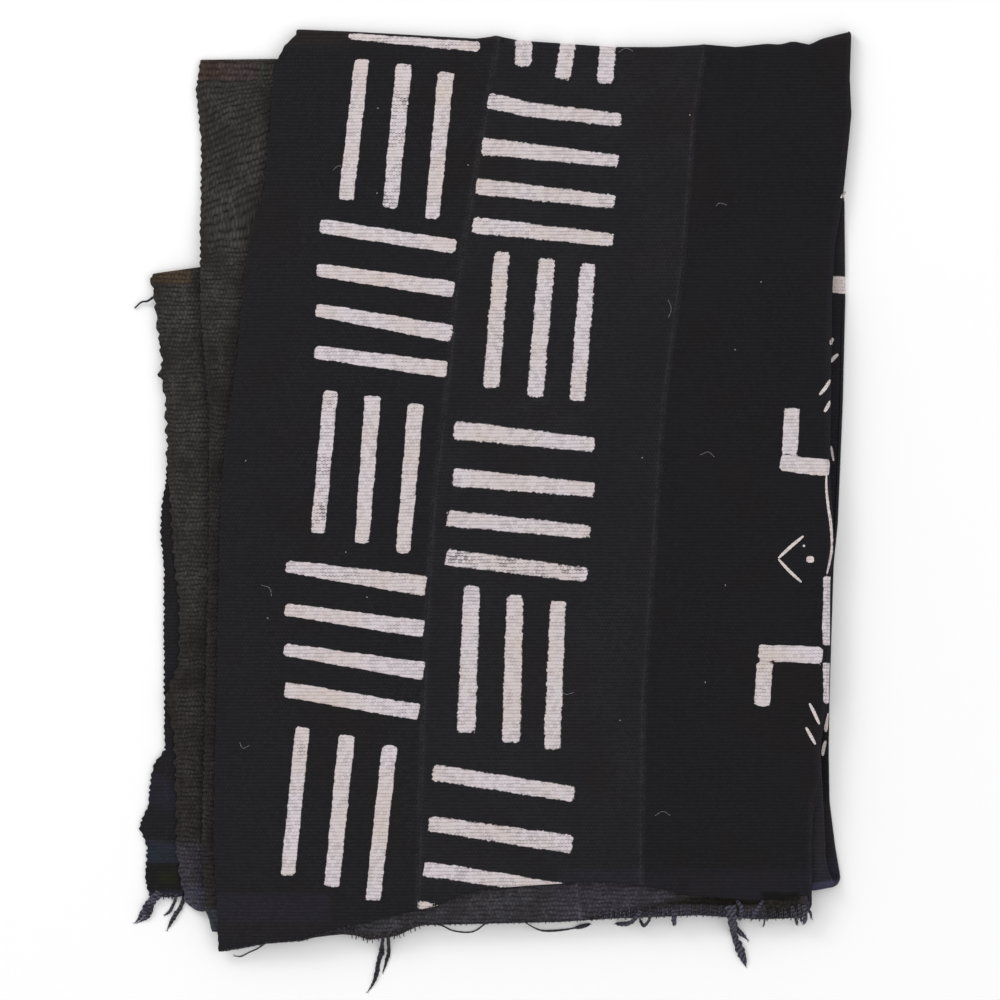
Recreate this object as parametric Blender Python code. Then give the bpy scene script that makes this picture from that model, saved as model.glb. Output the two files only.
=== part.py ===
"""A hand-woven mud cloth, folded and lying flat.

Six narrow cotton strips are sewn edge to edge. The cloth is folded in half across its width, with the painted
face outside, and then folded over three times along its length, so that it lies eight layers deep. The strips are
solids of their own, 0.3 mm apart at the seams, and each runs through every fold. The frayed warp ends are strands
on narrow strips parted from the cloth's cut ends.

Sizes are in millimetres until to_metres. X runs across the strips, Y along them and Z up.
"""

import math

import bmesh
import bpy
import numpy as np

# Driving sizes.
CLOTH = 1.3  # thickness of the weave
PITCH = 2.0  # from one layer of the pile to the next
DRAPE = 60.0  # how far a layer takes to come down past a fold under it
STIFF = 110.0  # the same past the pile's free end, where the cloth sticks out and sags a little
SEAM_GAP = 0.3
STRIP_3 = 130.0  # width of the strip that the side fold runs in
END_STRIP = 5.0  # depth of the narrow strip that holds the frayed ends
LEAST_END = 2.5  # its least depth, where the cut is ragged
CLEAR = 0.3  # between that strip and the cloth
RECESS_TO = 177.0  # X up to which the back half's cut ends make room for it
RECESS_FADE = 8.0
STRAND_FALL = 1.3  # how far out a strand reaches the surface, for each mm of its root's height
SHORT_STRAND = 1.5  # a strand shorter than this many falls stays up and sags a little
SHORT_SAG = 0.12
TIP_TAPER = 0.45

# How finely the solids follow the cloth.
CELLS_ACROSS = 2  # in each strip, and on each side of the side fold
SIDE_FOLD_STEPS = 5
LONG_FOLD_STEPS = 6
UPPER_ROWS = (-215, -180, -145, -110, -75, -40, -5, 30, 65, 92, 104, 116, 128, 140, 152, 164, 176, 192, 212, 240, 262)
UNDER_ROWS = (0, 0.03, 0.07, 0.12, 0.16, 0.19, 0.24, 0.32, 0.4, 0.48, 0.56, 0.64, 0.72, 0.8, 0.87, 0.93, 0.97, 1)
MIDDLE_ROWS = (0, 0.03, 0.07, 0.13, 0.2, 0.27, 0.31, 0.37, 0.44, 0.52, 0.6, 0.68, 0.76, 0.84, 0.92, 1)
CORE_ROWS = (0, 0.08, 0.16, 0.24, 0.32, 0.4, 0.48, 0.56, 0.64, 0.71, 0.76, 0.79, 0.83, 0.87, 0.9, 0.93, 0.96, 1)

# Where the two sewn seams of the front half lie, as shares of its width, in the runs that don't show.
SEAM_SHARES = (0.3587, 0.7355)

# The layers, from the lowest up. "front" is strips 1 to 3 and "back" the rest. Where the run's front is over its
# back, that run's painted face is up.
PILE = (
    ("under", "front"),
    ("under", "back"),
    ("core", "front"),
    ("core", "back"),
    ("middle", "back"),
    ("middle", "front"),
    ("upper", "back"),
    ("upper", "front"),
)

# Lines across the cloth, as rows of (x, y): its cut ends and its folds.
LINES = {
    "upper_end": {
        "front": ((-167, -271), (-140, -266), (-119, -264.5), (-89, -255.5), (-48, -245.5), (-25, -237), (17, -231),
                  (59, -228.5), (85, -231), (116, -237), (150, -240), (170, -239), (187, -240)),
        "back": ((-177, -247), (-173, -259), (-119, -263.5), (-96, -260.5), (-79, -264), (-62, -261.5), (-48, -255),
                 (36, -253), (67, -251), (120, -249), (156, -251), (180, -246.5), (187, -240)),
    },
    "top_fold": {
        "front": ((-120, 282.5), (-60, 278), (-12, 275.5), (-1, 278.5), (11, 276), (68, 272), (98, 272), (124, 273.5),
                  (142, 272), (176, 275.5), (186, 273.5), (193, 277), (211, 281.5)),
        "back": ((-180, 264.5), (-132, 265), (68, 264), (150, 266), (186, 270), (211, 279.5)),
    },
    "bottom_fold": {
        "front": ((-134, -246), (0, -240.5), (150, -237), (188, -234.5), (204, -231.5)),
        "back": ((-188.5, -239.5), (-179.5, -243), (-134, -243), (0, -238), (150, -235), (204, -229.5)),
    },
    "inner_fold": {
        "front": ((-139, 139), (-60, 132), (60, 112), (194, 98)),
        "back": ((-209, 136), (-180, 140), (-60, 129), (60, 109), (194, 96)),
    },
    "core_end": {
        "front": ((-140, -226), (188, -222)),
        "back": ((-209, -238.5), (-192, -238.5), (-187, -234), (0, -228), (188, -222)),
    },
}

# The runs, in the order in which the cloth passes through them, and which way each goes along Y.
RUNS = (
    {"name": "upper", "from": "upper_end", "to": "top_fold", "way": 1, "rows": range(len(UPPER_ROWS) + 3)},
    {"name": "under", "from": "top_fold", "to": "bottom_fold", "way": -1, "rows": UNDER_ROWS},
    {"name": "middle", "from": "bottom_fold", "to": "inner_fold", "way": 1, "rows": MIDDLE_ROWS},
    {"name": "core", "from": "inner_fold", "to": "core_end", "way": -1, "rows": CORE_ROWS},
)
RUN = {run["name"]: run for run in RUNS}

# The free selvedge of each layer, and each run's side fold, as rows of (y, x).
SELVEDGE = {
    ("upper", "front"): ((-271, -167), (-233, -170), (-209, -172), (-141, -170.5), (-60, -169), (11, -167), (40, -164),
                         (83, -158), (130, -153.5), (161, -149.5), (186, -141.5), (239, -137), (260, -136), (273, -129),
                         (282, -120)),
    ("upper", "back"): ((-259, -173), (-245, -177), (-209, -179), (-120, -177), (-30, -174.5), (49, -174.5), (81, -177),
                        (119, -180), (155, -180), (218, -179.5), (245, -182.5), (265, -180)),
    ("under", "front"): ((-246, -134), (0, -133), (200, -134), (260, -130), (282, -120)),
    ("under", "back"): ((-239, -188.5), (-150, -187), (100, -186), (150, -177), (230, -177), (265, -180)),
    ("middle", "front"): ((-246, -134), (-200, -142), (0, -146), (100, -143), (139, -139)),
    ("middle", "back"): ((-239, -188.5), (-230, -191.5), (-209, -194.5), (-179, -194.5), (-137, -196), (-125, -200),
                         (-116, -200), (-97, -192.5), (-62, -193), (-35, -195.5), (17, -200), (58, -199), (81, -202),
                         (108, -205), (136, -209)),
    ("core", "front"): ((-226, -138), (-100, -140), (139, -139)),
    ("core", "back"): ((-238, -209), (-224, -212.5), (-209, -212), (-202, -213.5), (-195, -214), (-184, -211), (-158, -208),
                       (-150, -201.5), (-83, -202), (-45, -201.5), (-19, -204), (-5, -203.5), (12, -200.5), (58, -198.5),
                       (92, -204), (136, -209)),
}
SIDE_FOLD = {
    "upper": ((-234, 187), (-198, 187), (-181, 188), (-167, 192), (-147, 191.5), (-120, 193), (-72, 195.5), (13, 197.5),
              (120, 199), (154, 201), (184, 206), (217, 209.5), (232, 211), (253, 210), (281, 211)),
    "under": ((-231.5, 204), (-226, 204.5), (-209, 201.5), (-181, 198), (-152, 197.5), (-120, 198), (-39, 200.5),
              (-14, 203), (59, 206), (120, 207.5), (180, 207), (188, 204.5), (240, 207), (281, 211)),
    "middle": ((-231.5, 204), (-226, 198), (-216, 195.5), (-192, 194.5), (-147, 192), (0, 194), (98, 194)),
    "core": ((-222, 187), (-150, 188), (0, 191), (98, 194)),
}
UPPER_SEAMS = (
    ((-243, -49), (-188, -48), (-72, -44), (2, -39.5), (83, -30), (126, -26.5), (223, -10), (278, -1)),
    ((-226, 85), (-124, 86), (-27, 92.5), (56, 98), (144, 110), (227, 116.5), (274, 123.5)),
)

# The frayed ends, as rows of (x, y) from the root outwards, with the strand's width. The first y is worked out.
UPPER_STRANDS = (
    {"width": 0.8, "route": ((-139, 0), (-149, -271), (-158, -275), (-165, -273))},
    {"width": 1.6, "route": ((-70, 0), (-71, -271), (-75, -283), (-82, -297))},
    {"width": 1.4, "route": ((-66.5, 0), (-66, -272), (-70.5, -284))},
    {"width": 1.4, "route": ((-35, 0), (-30, -259), (-22, -260.5), (-12, -257))},
    {"width": 1.6, "route": ((18, 0), (22, -258.5), (34, -260), (48, -257.5))},
    {"width": 2.2, "route": ((69, 0), (68, -255.5))},
    {"width": 2.2, "route": ((76, 0), (77, -256))},
    {"width": 2.0, "route": ((86, 0), (85, -256.5))},
    {"width": 1.8, "route": ((104, 0), (104.5, -256))},
    {"width": 2.0, "route": ((137, 0), (138.5, -258), (141, -267), (147, -279))},
    {"width": 1.2, "route": ((145, 0), (146, -257), (149, -264))},
    {"width": 1.4, "route": ((168, 0), (171, -255))},
)
WARP_STUBS = {"first": -98.0, "last": -76.0, "count": 8, "length": 2.6, "width": 1.0}
CORE_STRANDS = (
    {"width": 2.6, "route": ((-206, 0), (-210, -242.5), (-214, -248), (-218, -252.5))},
    {"width": 1.2, "route": ((-198.5, 0), (-197, -243), (-200.5, -249))},
    {"width": 1.4, "route": ((-193.5, 0), (-193, -245), (-196, -251), (-199.5, -257))},
)
FRAYED = (
    {"name": "frayed_end_upper", "run": "upper", "from": -172.0, "to": 172.0, "cells": 26, "strands": UPPER_STRANDS},
    {"name": "frayed_end_core", "run": "core", "from": -208.3, "to": -190.0, "cells": 2, "strands": CORE_STRANDS},
)

# Soft rises and troughs of the whole pile: middle, half-lengths along and across the line it follows, how far the
# line is turned, and by what share the pile is higher there.
SWELLS = (
    {"x": -60, "y": -10, "long": 130, "wide": 80, "turn": 80, "rise": 0.05},
    {"x": 70, "y": -150, "long": 90, "wide": 70, "turn": 10, "rise": 0.05},
    {"x": 150, "y": 30, "long": 100, "wide": 70, "turn": 60, "rise": 0.05},
    {"x": -110, "y": 190, "long": 90, "wide": 60, "turn": 30, "rise": -0.05},
)

WOVEN_BLACK = {"color": (0.012, 0.011, 0.012, 1.0), "roughness": 0.95}
FRAYED_BLACK = {"color": (0.03, 0.029, 0.033, 1.0), "roughness": 0.95}


def along(rows, at):
    """The second column of rows where the first is at, straight between rows and level past the last."""
    if at <= rows[0][0]:
        return rows[0][1]
    for (near, value), (far, next_value) in zip(rows, rows[1:]):
        if at <= far:
            return value + (next_value - value) * (at - near) / (far - near)
    return rows[-1][1]


def ease(past, reach):
    """1 up to an edge, and smoothly down to 0 at reach past it."""
    share = min(max(past / reach, 0.0), 1.0)
    return 1.0 - share * share * (3.0 - 2.0 * share)


def line_of(run_name, half, end):
    return LINES[RUN[run_name][end]][half]


def cover(layer, x, y):
    """How much a layer lifts what lies over it at this place: 1 on the layer and 0 well past its ends."""
    run_name, half = layer
    start = along(line_of(run_name, half, "from"), x)
    stop = along(line_of(run_name, half, "to"), x)
    return ease(min(start, stop) - y, STIFF) * ease(y - max(start, stop), DRAPE)


def height(layer, x, y):
    """The middle of a layer's thickness, above the surface that the pile lies on."""
    below = PILE[: PILE.index(layer)]
    return CLOTH / 2 + PITCH * sum(cover(lower, x, y) for lower in below)


def swell(x, y):
    share = 1.0
    for row in SWELLS:
        turn = math.radians(row["turn"])
        u = ((x - row["x"]) * math.cos(turn) + (y - row["y"]) * math.sin(turn)) / row["long"]
        v = ((y - row["y"]) * math.cos(turn) - (x - row["x"]) * math.sin(turn)) / row["wide"]
        share += row["rise"] * math.exp(-u * u - v * v)
    return share


def run_limit(run_name, half, end, x):
    """Where the flat of a run ends: at its cut end, or where its fold starts to turn."""
    y = along(line_of(run_name, half, end), x)
    joined = [run["name"] for run in RUNS if run["name"] != run_name and RUN[run_name][end] in (run["from"], run["to"])]
    if not joined:
        recess = (END_STRIP + CLEAR) * ease(x - RECESS_TO, RECESS_FADE) if half == "back" else 0.0
        return y + recess
    drop = abs(height((run_name, half), x, y) - height((joined[0], half), x, y))
    reach = (drop + CLOTH) / 2
    return y - reach if RUN[run_name][end] in ("top_fold", "inner_fold") else y + reach


def row_y(run_name, half, row, x):
    """Y of one row of the grid. The halves of the upper run share theirs, as they come down past the inner fold."""
    start = run_limit(run_name, half, "from", x)
    stop = run_limit(run_name, half, "to", x)
    if run_name != "upper":
        return start + (stop - start) * RUN[run_name]["rows"][row]
    shared = list(UPPER_ROWS)
    shared[-1] = min(shared[-1], stop - 3)
    return [start, (start + shared[0]) / 2, *shared, stop][row]


def stations(run_name, half, y):
    """X of the selvedge, the seams and the side fold of one half of a run, from the selvedge inwards."""
    edge = along(SELVEDGE[(run_name, half)], y)
    fold = along(SIDE_FOLD[run_name], y)
    if run_name == "upper":
        seams = [along(rows, y) for rows in UPPER_SEAMS]
    else:
        front = along(SELVEDGE[(run_name, "front")], y)
        seams = [front + share * (fold - front) for share in SEAM_SHARES]
    if half == "front":
        return [edge, *seams, fold]
    third = fold - (STRIP_3 - (fold - seams[1]))
    return [edge, edge + (third - edge) / 3, edge + (third - edge) * 2 / 3, third, fold]


def placed_stations(run_name, half, row):
    """The same, where this row of the grid crosses each of them."""
    placed = []
    for index in range(4 if half == "front" else 5):
        x = stations(run_name, half, 0.0)[index]
        for _ in range(4):
            y = row_y(run_name, half, row, x)
            x = stations(run_name, half, y)[index]
        placed.append(x)
    return placed


def spread(first, last):
    """X of the lines of the grid in one strip, clear of the seams at its sides."""
    side = math.copysign(SEAM_GAP / 2, last - first)
    return [float(x) for x in np.linspace(first + side, last - side, CELLS_ACROSS + 1)]


def row_points(run, row):
    """For each strip, one row of points on the painted face and one on the reverse."""
    name = run["name"]
    up = 1.0 if PILE.index((name, "front")) > PILE.index((name, "back")) else -1.0
    front = placed_stations(name, "front", row)
    back = placed_stations(name, "back", row)
    y_front = row_y(name, "front", row, front[-1])
    y_back = row_y(name, "back", row, back[-1])
    high = height((name, "front"), front[-1], y_front)
    low = height((name, "back"), back[-1], y_back)
    half_turn = abs(high - low) / 2
    centre = front[-1] - half_turn - CLOTH / 2
    front[-1] = back[-1] = centre

    def flat(half, lines, side):
        points = []
        for x in lines:
            y = row_y(name, half, row, x)
            points.append((x, y, height((name, half), x, y) + side * CLOTH / 2))
        return points

    def side_fold(outward):
        points = []
        for step in range(1, SIDE_FOLD_STEPS):
            turn = math.pi * step / SIDE_FOLD_STEPS
            mix = step / SIDE_FOLD_STEPS
            radius = half_turn + outward * CLOTH / 2
            y = y_front + (y_back - y_front) * mix
            points.append((centre + radius * math.sin(turn), y, (high + low) / 2 + up * radius * math.cos(turn)))
        return points

    strips = []
    for outward in (1.0, -1.0):
        pieces = [flat("front", spread(front[i], front[i + 1]), up * outward) for i in range(2)]
        third_front = spread(front[2], front[3])[:-1] + [front[3]]
        third_back = [back[4]] + spread(back[4], back[3])[1:]
        third = flat("front", third_front, up * outward) + side_fold(outward) + flat("back", third_back, -up * outward)
        pieces.append(third)
        pieces += [flat("back", spread(back[i + 1], back[i]), -up * outward) for i in (2, 1, 0)]
        strips.append(pieces)
    return strips


def long_fold(last, first, way):
    """The rows that carry one run's last row round into the next run's first."""
    start, stop = np.array(last), np.array(first)
    middle, half = (start + stop) / 2, (start - stop) / 2
    rows = []
    for step in range(1, LONG_FOLD_STEPS):
        turn = math.pi * step / LONG_FOLD_STEPS
        points = middle + half * math.cos(turn)
        points[:, 1] += way * np.abs(half[:, 2]) * math.sin(turn)
        rows.append(points)
    return rows


def strip_grids(strip):
    """The face and reverse of one strip, as grids of points from the upper run's end to the core's."""
    grids = []
    for side in (0, 1):
        rows = []
        for run in RUNS:
            made = [np.array(row_points(run, row)[side][strip]) for row in range(len(run["rows"]))]
            if rows:
                rows += long_fold(rows[-1], made[0], -run["way"])
            rows += made
        grids.append(np.array(rows))
    return grids


def to_metres(points):
    swelled = [(x, y, z * swell(x, y)) for x, y, z in points]
    return np.array(swelled) * 0.001


def closed_sheet(name, face, reverse):
    """A closed mesh of two grids of points that share their outline."""
    rows, lines = face.shape[:2]
    points = to_metres(np.concatenate([face.reshape(-1, 3), reverse.reshape(-1, 3)]))
    bm = bmesh.new()
    corners = [bm.verts.new(point) for point in points]

    def corner(side, row, line):
        return corners[side * rows * lines + row * lines + line]

    for side in (0, 1):
        for row in range(rows - 1):
            for line in range(lines - 1):
                square = [(row, line), (row, line + 1), (row + 1, line + 1), (row + 1, line)]
                bm.faces.new([corner(side, *place) for place in square])
    rim = [(0, line) for line in range(lines)] + [(row, lines - 1) for row in range(1, rows)]
    rim += [(rows - 1, line) for line in range(lines - 2, -1, -1)] + [(row, 0) for row in range(rows - 2, 0, -1)]
    for here, there in zip(rim, rim[1:] + rim[:1]):
        bm.faces.new([corner(0, *here), corner(0, *there), corner(1, *there), corner(1, *here)])
    bmesh.ops.recalc_face_normals(bm, faces=bm.faces)
    mesh = bpy.data.meshes.new(name)
    bm.to_mesh(mesh)
    bm.free()
    return mesh


def strand_centres(route, root_height, width):
    """A smooth path through the route, down from the cloth's end and then level on the surface."""
    count = 3 * (len(route) - 1) + 1
    shares = np.linspace(0, len(route) - 1, count)
    table = np.array(route, float)
    places = np.stack([np.interp(shares, range(len(route)), table[:, axis]) for axis in (0, 1)], axis=1)
    for _ in range(2):
        places[1:-1] = (places[:-2] + 2 * places[1:-1] + places[2:]) / 4
    gone = np.concatenate([[0], np.cumsum(np.linalg.norm(np.diff(places, axis=0), axis=1))])
    fall = STRAND_FALL * root_height
    drop = (root_height - width / 2) if gone[-1] > SHORT_STRAND * fall else SHORT_SAG * gone[-1]
    share = np.clip((gone - LEAST_END) / fall, 0, 1)
    heights = root_height - drop * share * share * (3 - 2 * share)
    return np.column_stack([places, heights])


def add_strand(bm, centres, width):
    """A four-sided strand that narrows towards its tip, closed at both ends."""
    rings = []
    count = len(centres)
    for index, centre in enumerate(centres):
        ahead = centres[min(index + 1, count - 1)] - centres[max(index - 1, 0)]
        side = np.array([-ahead[1], ahead[0], 0.0])
        side *= width / 2 / np.linalg.norm(side)
        taper = 1.0 - TIP_TAPER * index / (count - 1)
        up = np.array([0.0, 0.0, width / 2])
        floor = np.array([centre[0], centre[1], centre[2] - width / 2])
        corners = [floor - side * taper, floor + side * taper]
        corners += [floor + side * taper + 2 * up * taper, floor - side * taper + 2 * up * taper]
        rings.append([bm.verts.new(point) for point in to_metres(corners)])
    for near, far in zip(rings, rings[1:]):
        for i in range(4):
            bm.faces.new([near[i], near[(i + 1) % 4], far[(i + 1) % 4], far[i]])
    bm.faces.new(rings[0][::-1])
    bm.faces.new(rings[-1])


def stub_rows():
    rows = []
    for index in range(WARP_STUBS["count"]):
        x = WARP_STUBS["first"] + (WARP_STUBS["last"] - WARP_STUBS["first"]) * index / (WARP_STUBS["count"] - 1)
        tip = along(LINES["upper_end"]["back"], x) - WARP_STUBS["length"] * (0.7 + 0.3 * math.cos(2.4 * index))
        rows.append({"width": WARP_STUBS["width"], "route": ((x, 0), (x + 0.6 * math.sin(1.9 * index), tip))})
    return rows


def finish_object(name, mesh, look):
    obj = bpy.data.objects.new(name, mesh)
    bpy.context.scene.collection.objects.link(obj)
    material = bpy.data.materials.new(name)
    material.use_nodes = True
    shader = material.node_tree.nodes["Principled BSDF"]
    shader.inputs["Base Color"].default_value = look["color"]
    shader.inputs["Roughness"].default_value = look["roughness"]
    mesh.materials.append(material)
    mesh.shade_smooth()
    mesh.set_sharp_from_angle(angle=math.radians(40))
    return obj


def cut_end(run_name, end):
    """The middle of the weave along the back half's cut end, as rows of (x, y) and of (x, z)."""
    run = RUN[run_name]
    face, reverse = row_points(run, 0 if end == "from" else len(run["rows"]) - 1)
    points = []
    for strip in (5, 4, 3, 2):
        middle = (np.array(face[strip]) + np.array(reverse[strip])) / 2
        points += [tuple(point) for point in middle[::-1][: CELLS_ACROSS + 1]]
    return [(x, y) for x, y, _ in points], [(x, z) for x, _, z in points]


def frayed_end(row):
    """A narrow strip along a cut end, with its strands fused to it."""
    layer = (row["run"], "back")
    end = "from" if row["run"] == "upper" else "to"
    line = line_of(row["run"], "back", end)
    cloth_y, cloth_z = cut_end(row["run"], end)

    def depths(x):
        near = along(cloth_y, x) - CLEAR
        return near, min(along(line, x), near - LEAST_END)

    shared = [x for x, _ in cloth_y if row["from"] < x < row["to"]]
    between = [x for x in np.linspace(row["from"], row["to"], row["cells"] + 1) if all(abs(x - y) > 4 for y in shared)]
    grids = []
    for side in (1.0, -1.0):
        outer, inner = [], []
        for x in sorted(shared + between):
            near, far = depths(x)
            level = along(cloth_z, x) + side * CLOTH / 2
            inner.append((x, near, level))
            outer.append((x, far, level + height(layer, x, far) - height(layer, x, near)))
        grids.append(np.array([outer, inner]))
    strip = finish_object(row["name"], closed_sheet(row["name"], *grids), FRAYED_BLACK)

    bm = bmesh.new()
    for strand in list(row["strands"]) + (stub_rows() if row["run"] == "upper" else []):
        x = strand["route"][0][0]
        near, far = depths(x)
        route = ((x, (near + far) / 2), (x, far + 0.4), *strand["route"][1:])
        add_strand(bm, strand_centres(route, height(layer, x, far), strand["width"]), strand["width"])
    bmesh.ops.recalc_face_normals(bm, faces=bm.faces)
    mesh = bpy.data.meshes.new(row["name"] + "_strands")
    bm.to_mesh(mesh)
    bm.free()
    strands = bpy.data.objects.new(row["name"] + "_strands", mesh)
    bpy.context.scene.collection.objects.link(strands)
    strands.hide_render = True
    strands.display_type = "WIRE"
    fuse = strip.modifiers.new("fuse_strands", "BOOLEAN")
    fuse.operation = "UNION"
    fuse.object = strands


def centre_all():
    """Moves every mesh so that the origin is under the middle of the whole, at the surface it lies on."""
    bpy.context.view_layer.update()
    graph = bpy.context.evaluated_depsgraph_get()
    shown = [obj for obj in bpy.context.scene.objects if not obj.hide_render]
    corners = np.concatenate([[tuple(vertex.co) for vertex in obj.evaluated_get(graph).data.vertices] for obj in shown])
    low, high = corners.min(axis=0), corners.max(axis=0)
    shift = (-(low[0] + high[0]) / 2, -(low[1] + high[1]) / 2, -low[2])
    for obj in bpy.context.scene.objects:
        for vertex in obj.data.vertices:
            vertex.co = [vertex.co[axis] + shift[axis] for axis in range(3)]
    print("origin moved by", [round(1000 * value, 2) for value in shift], "mm")


def main():
    for obj in list(bpy.data.objects):
        bpy.data.objects.remove(obj)
    for strip in range(6):
        face, reverse = strip_grids(strip)
        finish_object(f"strip_{strip + 1}", closed_sheet(f"strip_{strip + 1}", face, reverse), WOVEN_BLACK)
    for row in FRAYED:
        frayed_end(row)
    centre_all()


main()
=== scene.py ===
# %% [markdown]
# # A folded mud cloth
# A mud cloth is six narrow strips of hand-spun cotton, woven on a narrow loom, sewn edge to edge and dyed
# with plant dye and iron-rich mud. This one is folded in half across its width, with the painted face
# outside, and then folded over three times along its length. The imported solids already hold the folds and
# the size, so this file weaves the same sheets again much finer, and gives them their edges, seams,
# threads, dye and paint.

# %% The frame, and the size that the solids have
import math

import bmesh
import bpy
import numpy as np
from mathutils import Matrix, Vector
from mathutils.bvhtree import BVHTree


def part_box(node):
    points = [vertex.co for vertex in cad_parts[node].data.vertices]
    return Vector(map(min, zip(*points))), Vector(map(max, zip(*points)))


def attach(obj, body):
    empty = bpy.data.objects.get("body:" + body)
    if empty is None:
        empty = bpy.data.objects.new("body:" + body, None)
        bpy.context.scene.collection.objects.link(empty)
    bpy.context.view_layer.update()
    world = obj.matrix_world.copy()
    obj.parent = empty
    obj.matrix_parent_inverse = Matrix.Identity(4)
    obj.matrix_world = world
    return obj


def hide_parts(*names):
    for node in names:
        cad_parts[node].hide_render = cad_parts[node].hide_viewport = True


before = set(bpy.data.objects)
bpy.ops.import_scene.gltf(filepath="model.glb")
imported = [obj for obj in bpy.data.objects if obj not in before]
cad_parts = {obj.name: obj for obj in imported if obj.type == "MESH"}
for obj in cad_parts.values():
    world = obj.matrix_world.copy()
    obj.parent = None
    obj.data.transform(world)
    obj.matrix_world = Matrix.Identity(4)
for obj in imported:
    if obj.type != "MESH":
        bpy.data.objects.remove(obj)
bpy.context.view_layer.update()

# %% [markdown]
# ## The floor, the light and the camera
# The cloth lies on a plain white surface and is seen from straight above. One millimetre of cloth is the
# same size wherever it lies in such a view, so every place on the cloth can be given in the picture's own
# frame: 0.6 mm to a pixel, from the middle of a picture of 1000 by 1000. The solids are centred on their
# own outline, which is 3.86 mm and 7.29 mm away from the middle of the picture. Dark cloth shows its ribs
# only where light grazes it, so a large soft light comes low from the upper left, and a pale sky fills the
# rest. The standard view transform shows each colour as its hex value says under a light of 1, so the paper
# comes out white.

# %% The camera looks straight down
MM_PER_PIXEL = 0.6
SHIFT = (3.86, 7.29)  # from the picture's middle to the solids' origin, in mm
CAMERA_HEIGHT = 5.0  # metres, far enough away for the near layers to look no larger


def from_picture(px, py):
    """X and Y in mm, in the frame that the layout below uses, of a place in the picture."""
    return (px - 500) * MM_PER_PIXEL, (500 - py) * MM_PER_PIXEL


camera_data = bpy.data.cameras.new("camera")
camera_data.sensor_width = 36.0
camera_data.lens = camera_data.sensor_width * CAMERA_HEIGHT / (1000 * MM_PER_PIXEL / 1000)
camera_data.clip_end = 20.0
camera = bpy.data.objects.new("camera", camera_data)
camera.location = (SHIFT[0] / 1000, SHIFT[1] / 1000, CAMERA_HEIGHT + 0.008)
bpy.context.scene.collection.objects.link(camera)
bpy.context.scene.camera = camera
print("lens", round(camera_data.lens), "mm")

# %% One function adds a node with its settings and links, and one turns sRGB hex to linear


def linear(hex_colour):
    """The linear colour, with alpha 1, of an sRGB colour such as #202022."""
    values = [int(hex_colour[i : i + 2], 16) / 255 for i in (1, 3, 5)]
    return tuple(v / 12.92 if v <= 0.04045 else ((v + 0.055) / 1.055) ** 2.4 for v in values) + (1.0,)


def add(tree, kind, settings=None, **links):
    """Adds a node. Settings are its properties or its inputs' values, and links feed its inputs."""
    node = tree.nodes.new(kind)
    for name, value in (settings or {}).items():
        if isinstance(name, str) and hasattr(node, name):
            setattr(node, name, value)
        else:
            node.inputs[name].default_value = value
    for name, socket in links.items():
        key = int(name[1:]) if name[0] == "i" and name[1:].isdigit() else name.replace("_", " ")
        tree.links.new(socket, node.inputs[key])
    return node


def feed(tree, socket, value):
    """Fills an input: with a link from another socket, or with a value. None leaves it as it is."""
    if isinstance(value, bpy.types.NodeSocket):
        tree.links.new(value, socket)
    elif value is not None:
        socket.default_value = value


def maths(tree, operation, *operands):
    """The result of a Math node. Each operand is a socket or a number."""
    node = add(tree, "ShaderNodeMath", {"operation": operation})
    for socket, value in zip(node.inputs, operands):
        feed(tree, socket, value)
    return node.outputs["Value"]


def noise(tree, place, scale, detail, roughness):
    """Smooth noise, 0 to 1, at a place on the cloth, or in the piece's own box where that is None."""
    node = add(tree, "ShaderNodeTexNoise", {"Scale": scale, "Detail": detail, "Roughness": roughness})
    feed(tree, node.inputs["Vector"], place)
    return node.outputs["Fac"]


def spread(tree, value, low, high, to_low=0.0, to_high=1.0):
    """A value moved from one range to another, and held inside it."""
    limits = {"From Min": low, "From Max": high, "To Min": to_low, "To Max": to_high}
    return add(tree, "ShaderNodeMapRange", limits, Value=value).outputs["Result"]


def mix(tree, share, first, second, blend="MIX"):
    """Mixes two colours, each a socket or a colour."""
    node = add(tree, "ShaderNodeMix", {"data_type": "RGBA", "blend_type": blend, "clamp_factor": True})
    for index, value in ((0, share), (6, first), (7, second)):
        feed(tree, node.inputs[index], value)
    return node.outputs[2]


def from_mesh(tree, name, output="Fac"):
    """What each point of the mesh stores under a name."""
    return add(tree, "ShaderNodeAttribute", {"attribute_name": name}).outputs[output]


def new_material(name):
    material = bpy.data.materials.new(name)
    material.use_nodes = True
    tree = material.node_tree
    return material, tree, tree.nodes["Principled BSDF"]


def cotton(tree, shader, colour, relief, roughness, sheen):
    """Gives a shader its colour, its relief (height, strength and distance in metres) and a dull finish."""
    feed(tree, shader.inputs["Base Color"], colour)
    height, strength, distance = relief
    bump = add(tree, "ShaderNodeBump", {"Distance": distance}, Height=height)
    feed(tree, bump.inputs["Strength"], strength)
    feed(tree, shader.inputs["Normal"], bump.outputs["Normal"])
    shader.inputs["Roughness"].default_value = roughness
    shader.inputs["Specular IOR Level"].default_value = 0.1
    shader.inputs["Sheen Weight"].default_value = sheen
    shader.inputs["Sheen Roughness"].default_value = 0.5


# %% Floor, sky and lights
HALF_FLOOR = 4.0
CORNERS = ((-1, -1), (1, -1), (1, 1), (-1, 1))
floor_mesh = bpy.data.meshes.new("floor")
floor_mesh.from_pydata([(x * HALF_FLOOR, y * HALF_FLOOR, 0) for x, y in CORNERS], [], [(0, 1, 2, 3)])
floor = bpy.data.objects.new("floor", floor_mesh)
bpy.context.scene.collection.objects.link(floor)
paper, paper_tree, paper_shader = new_material("white_paper_sweep")
paper_shader.inputs["Base Color"].default_value = linear("#f4f4f4")
paper_shader.inputs["Roughness"].default_value = 0.9
floor_mesh.materials.append(paper)

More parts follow.
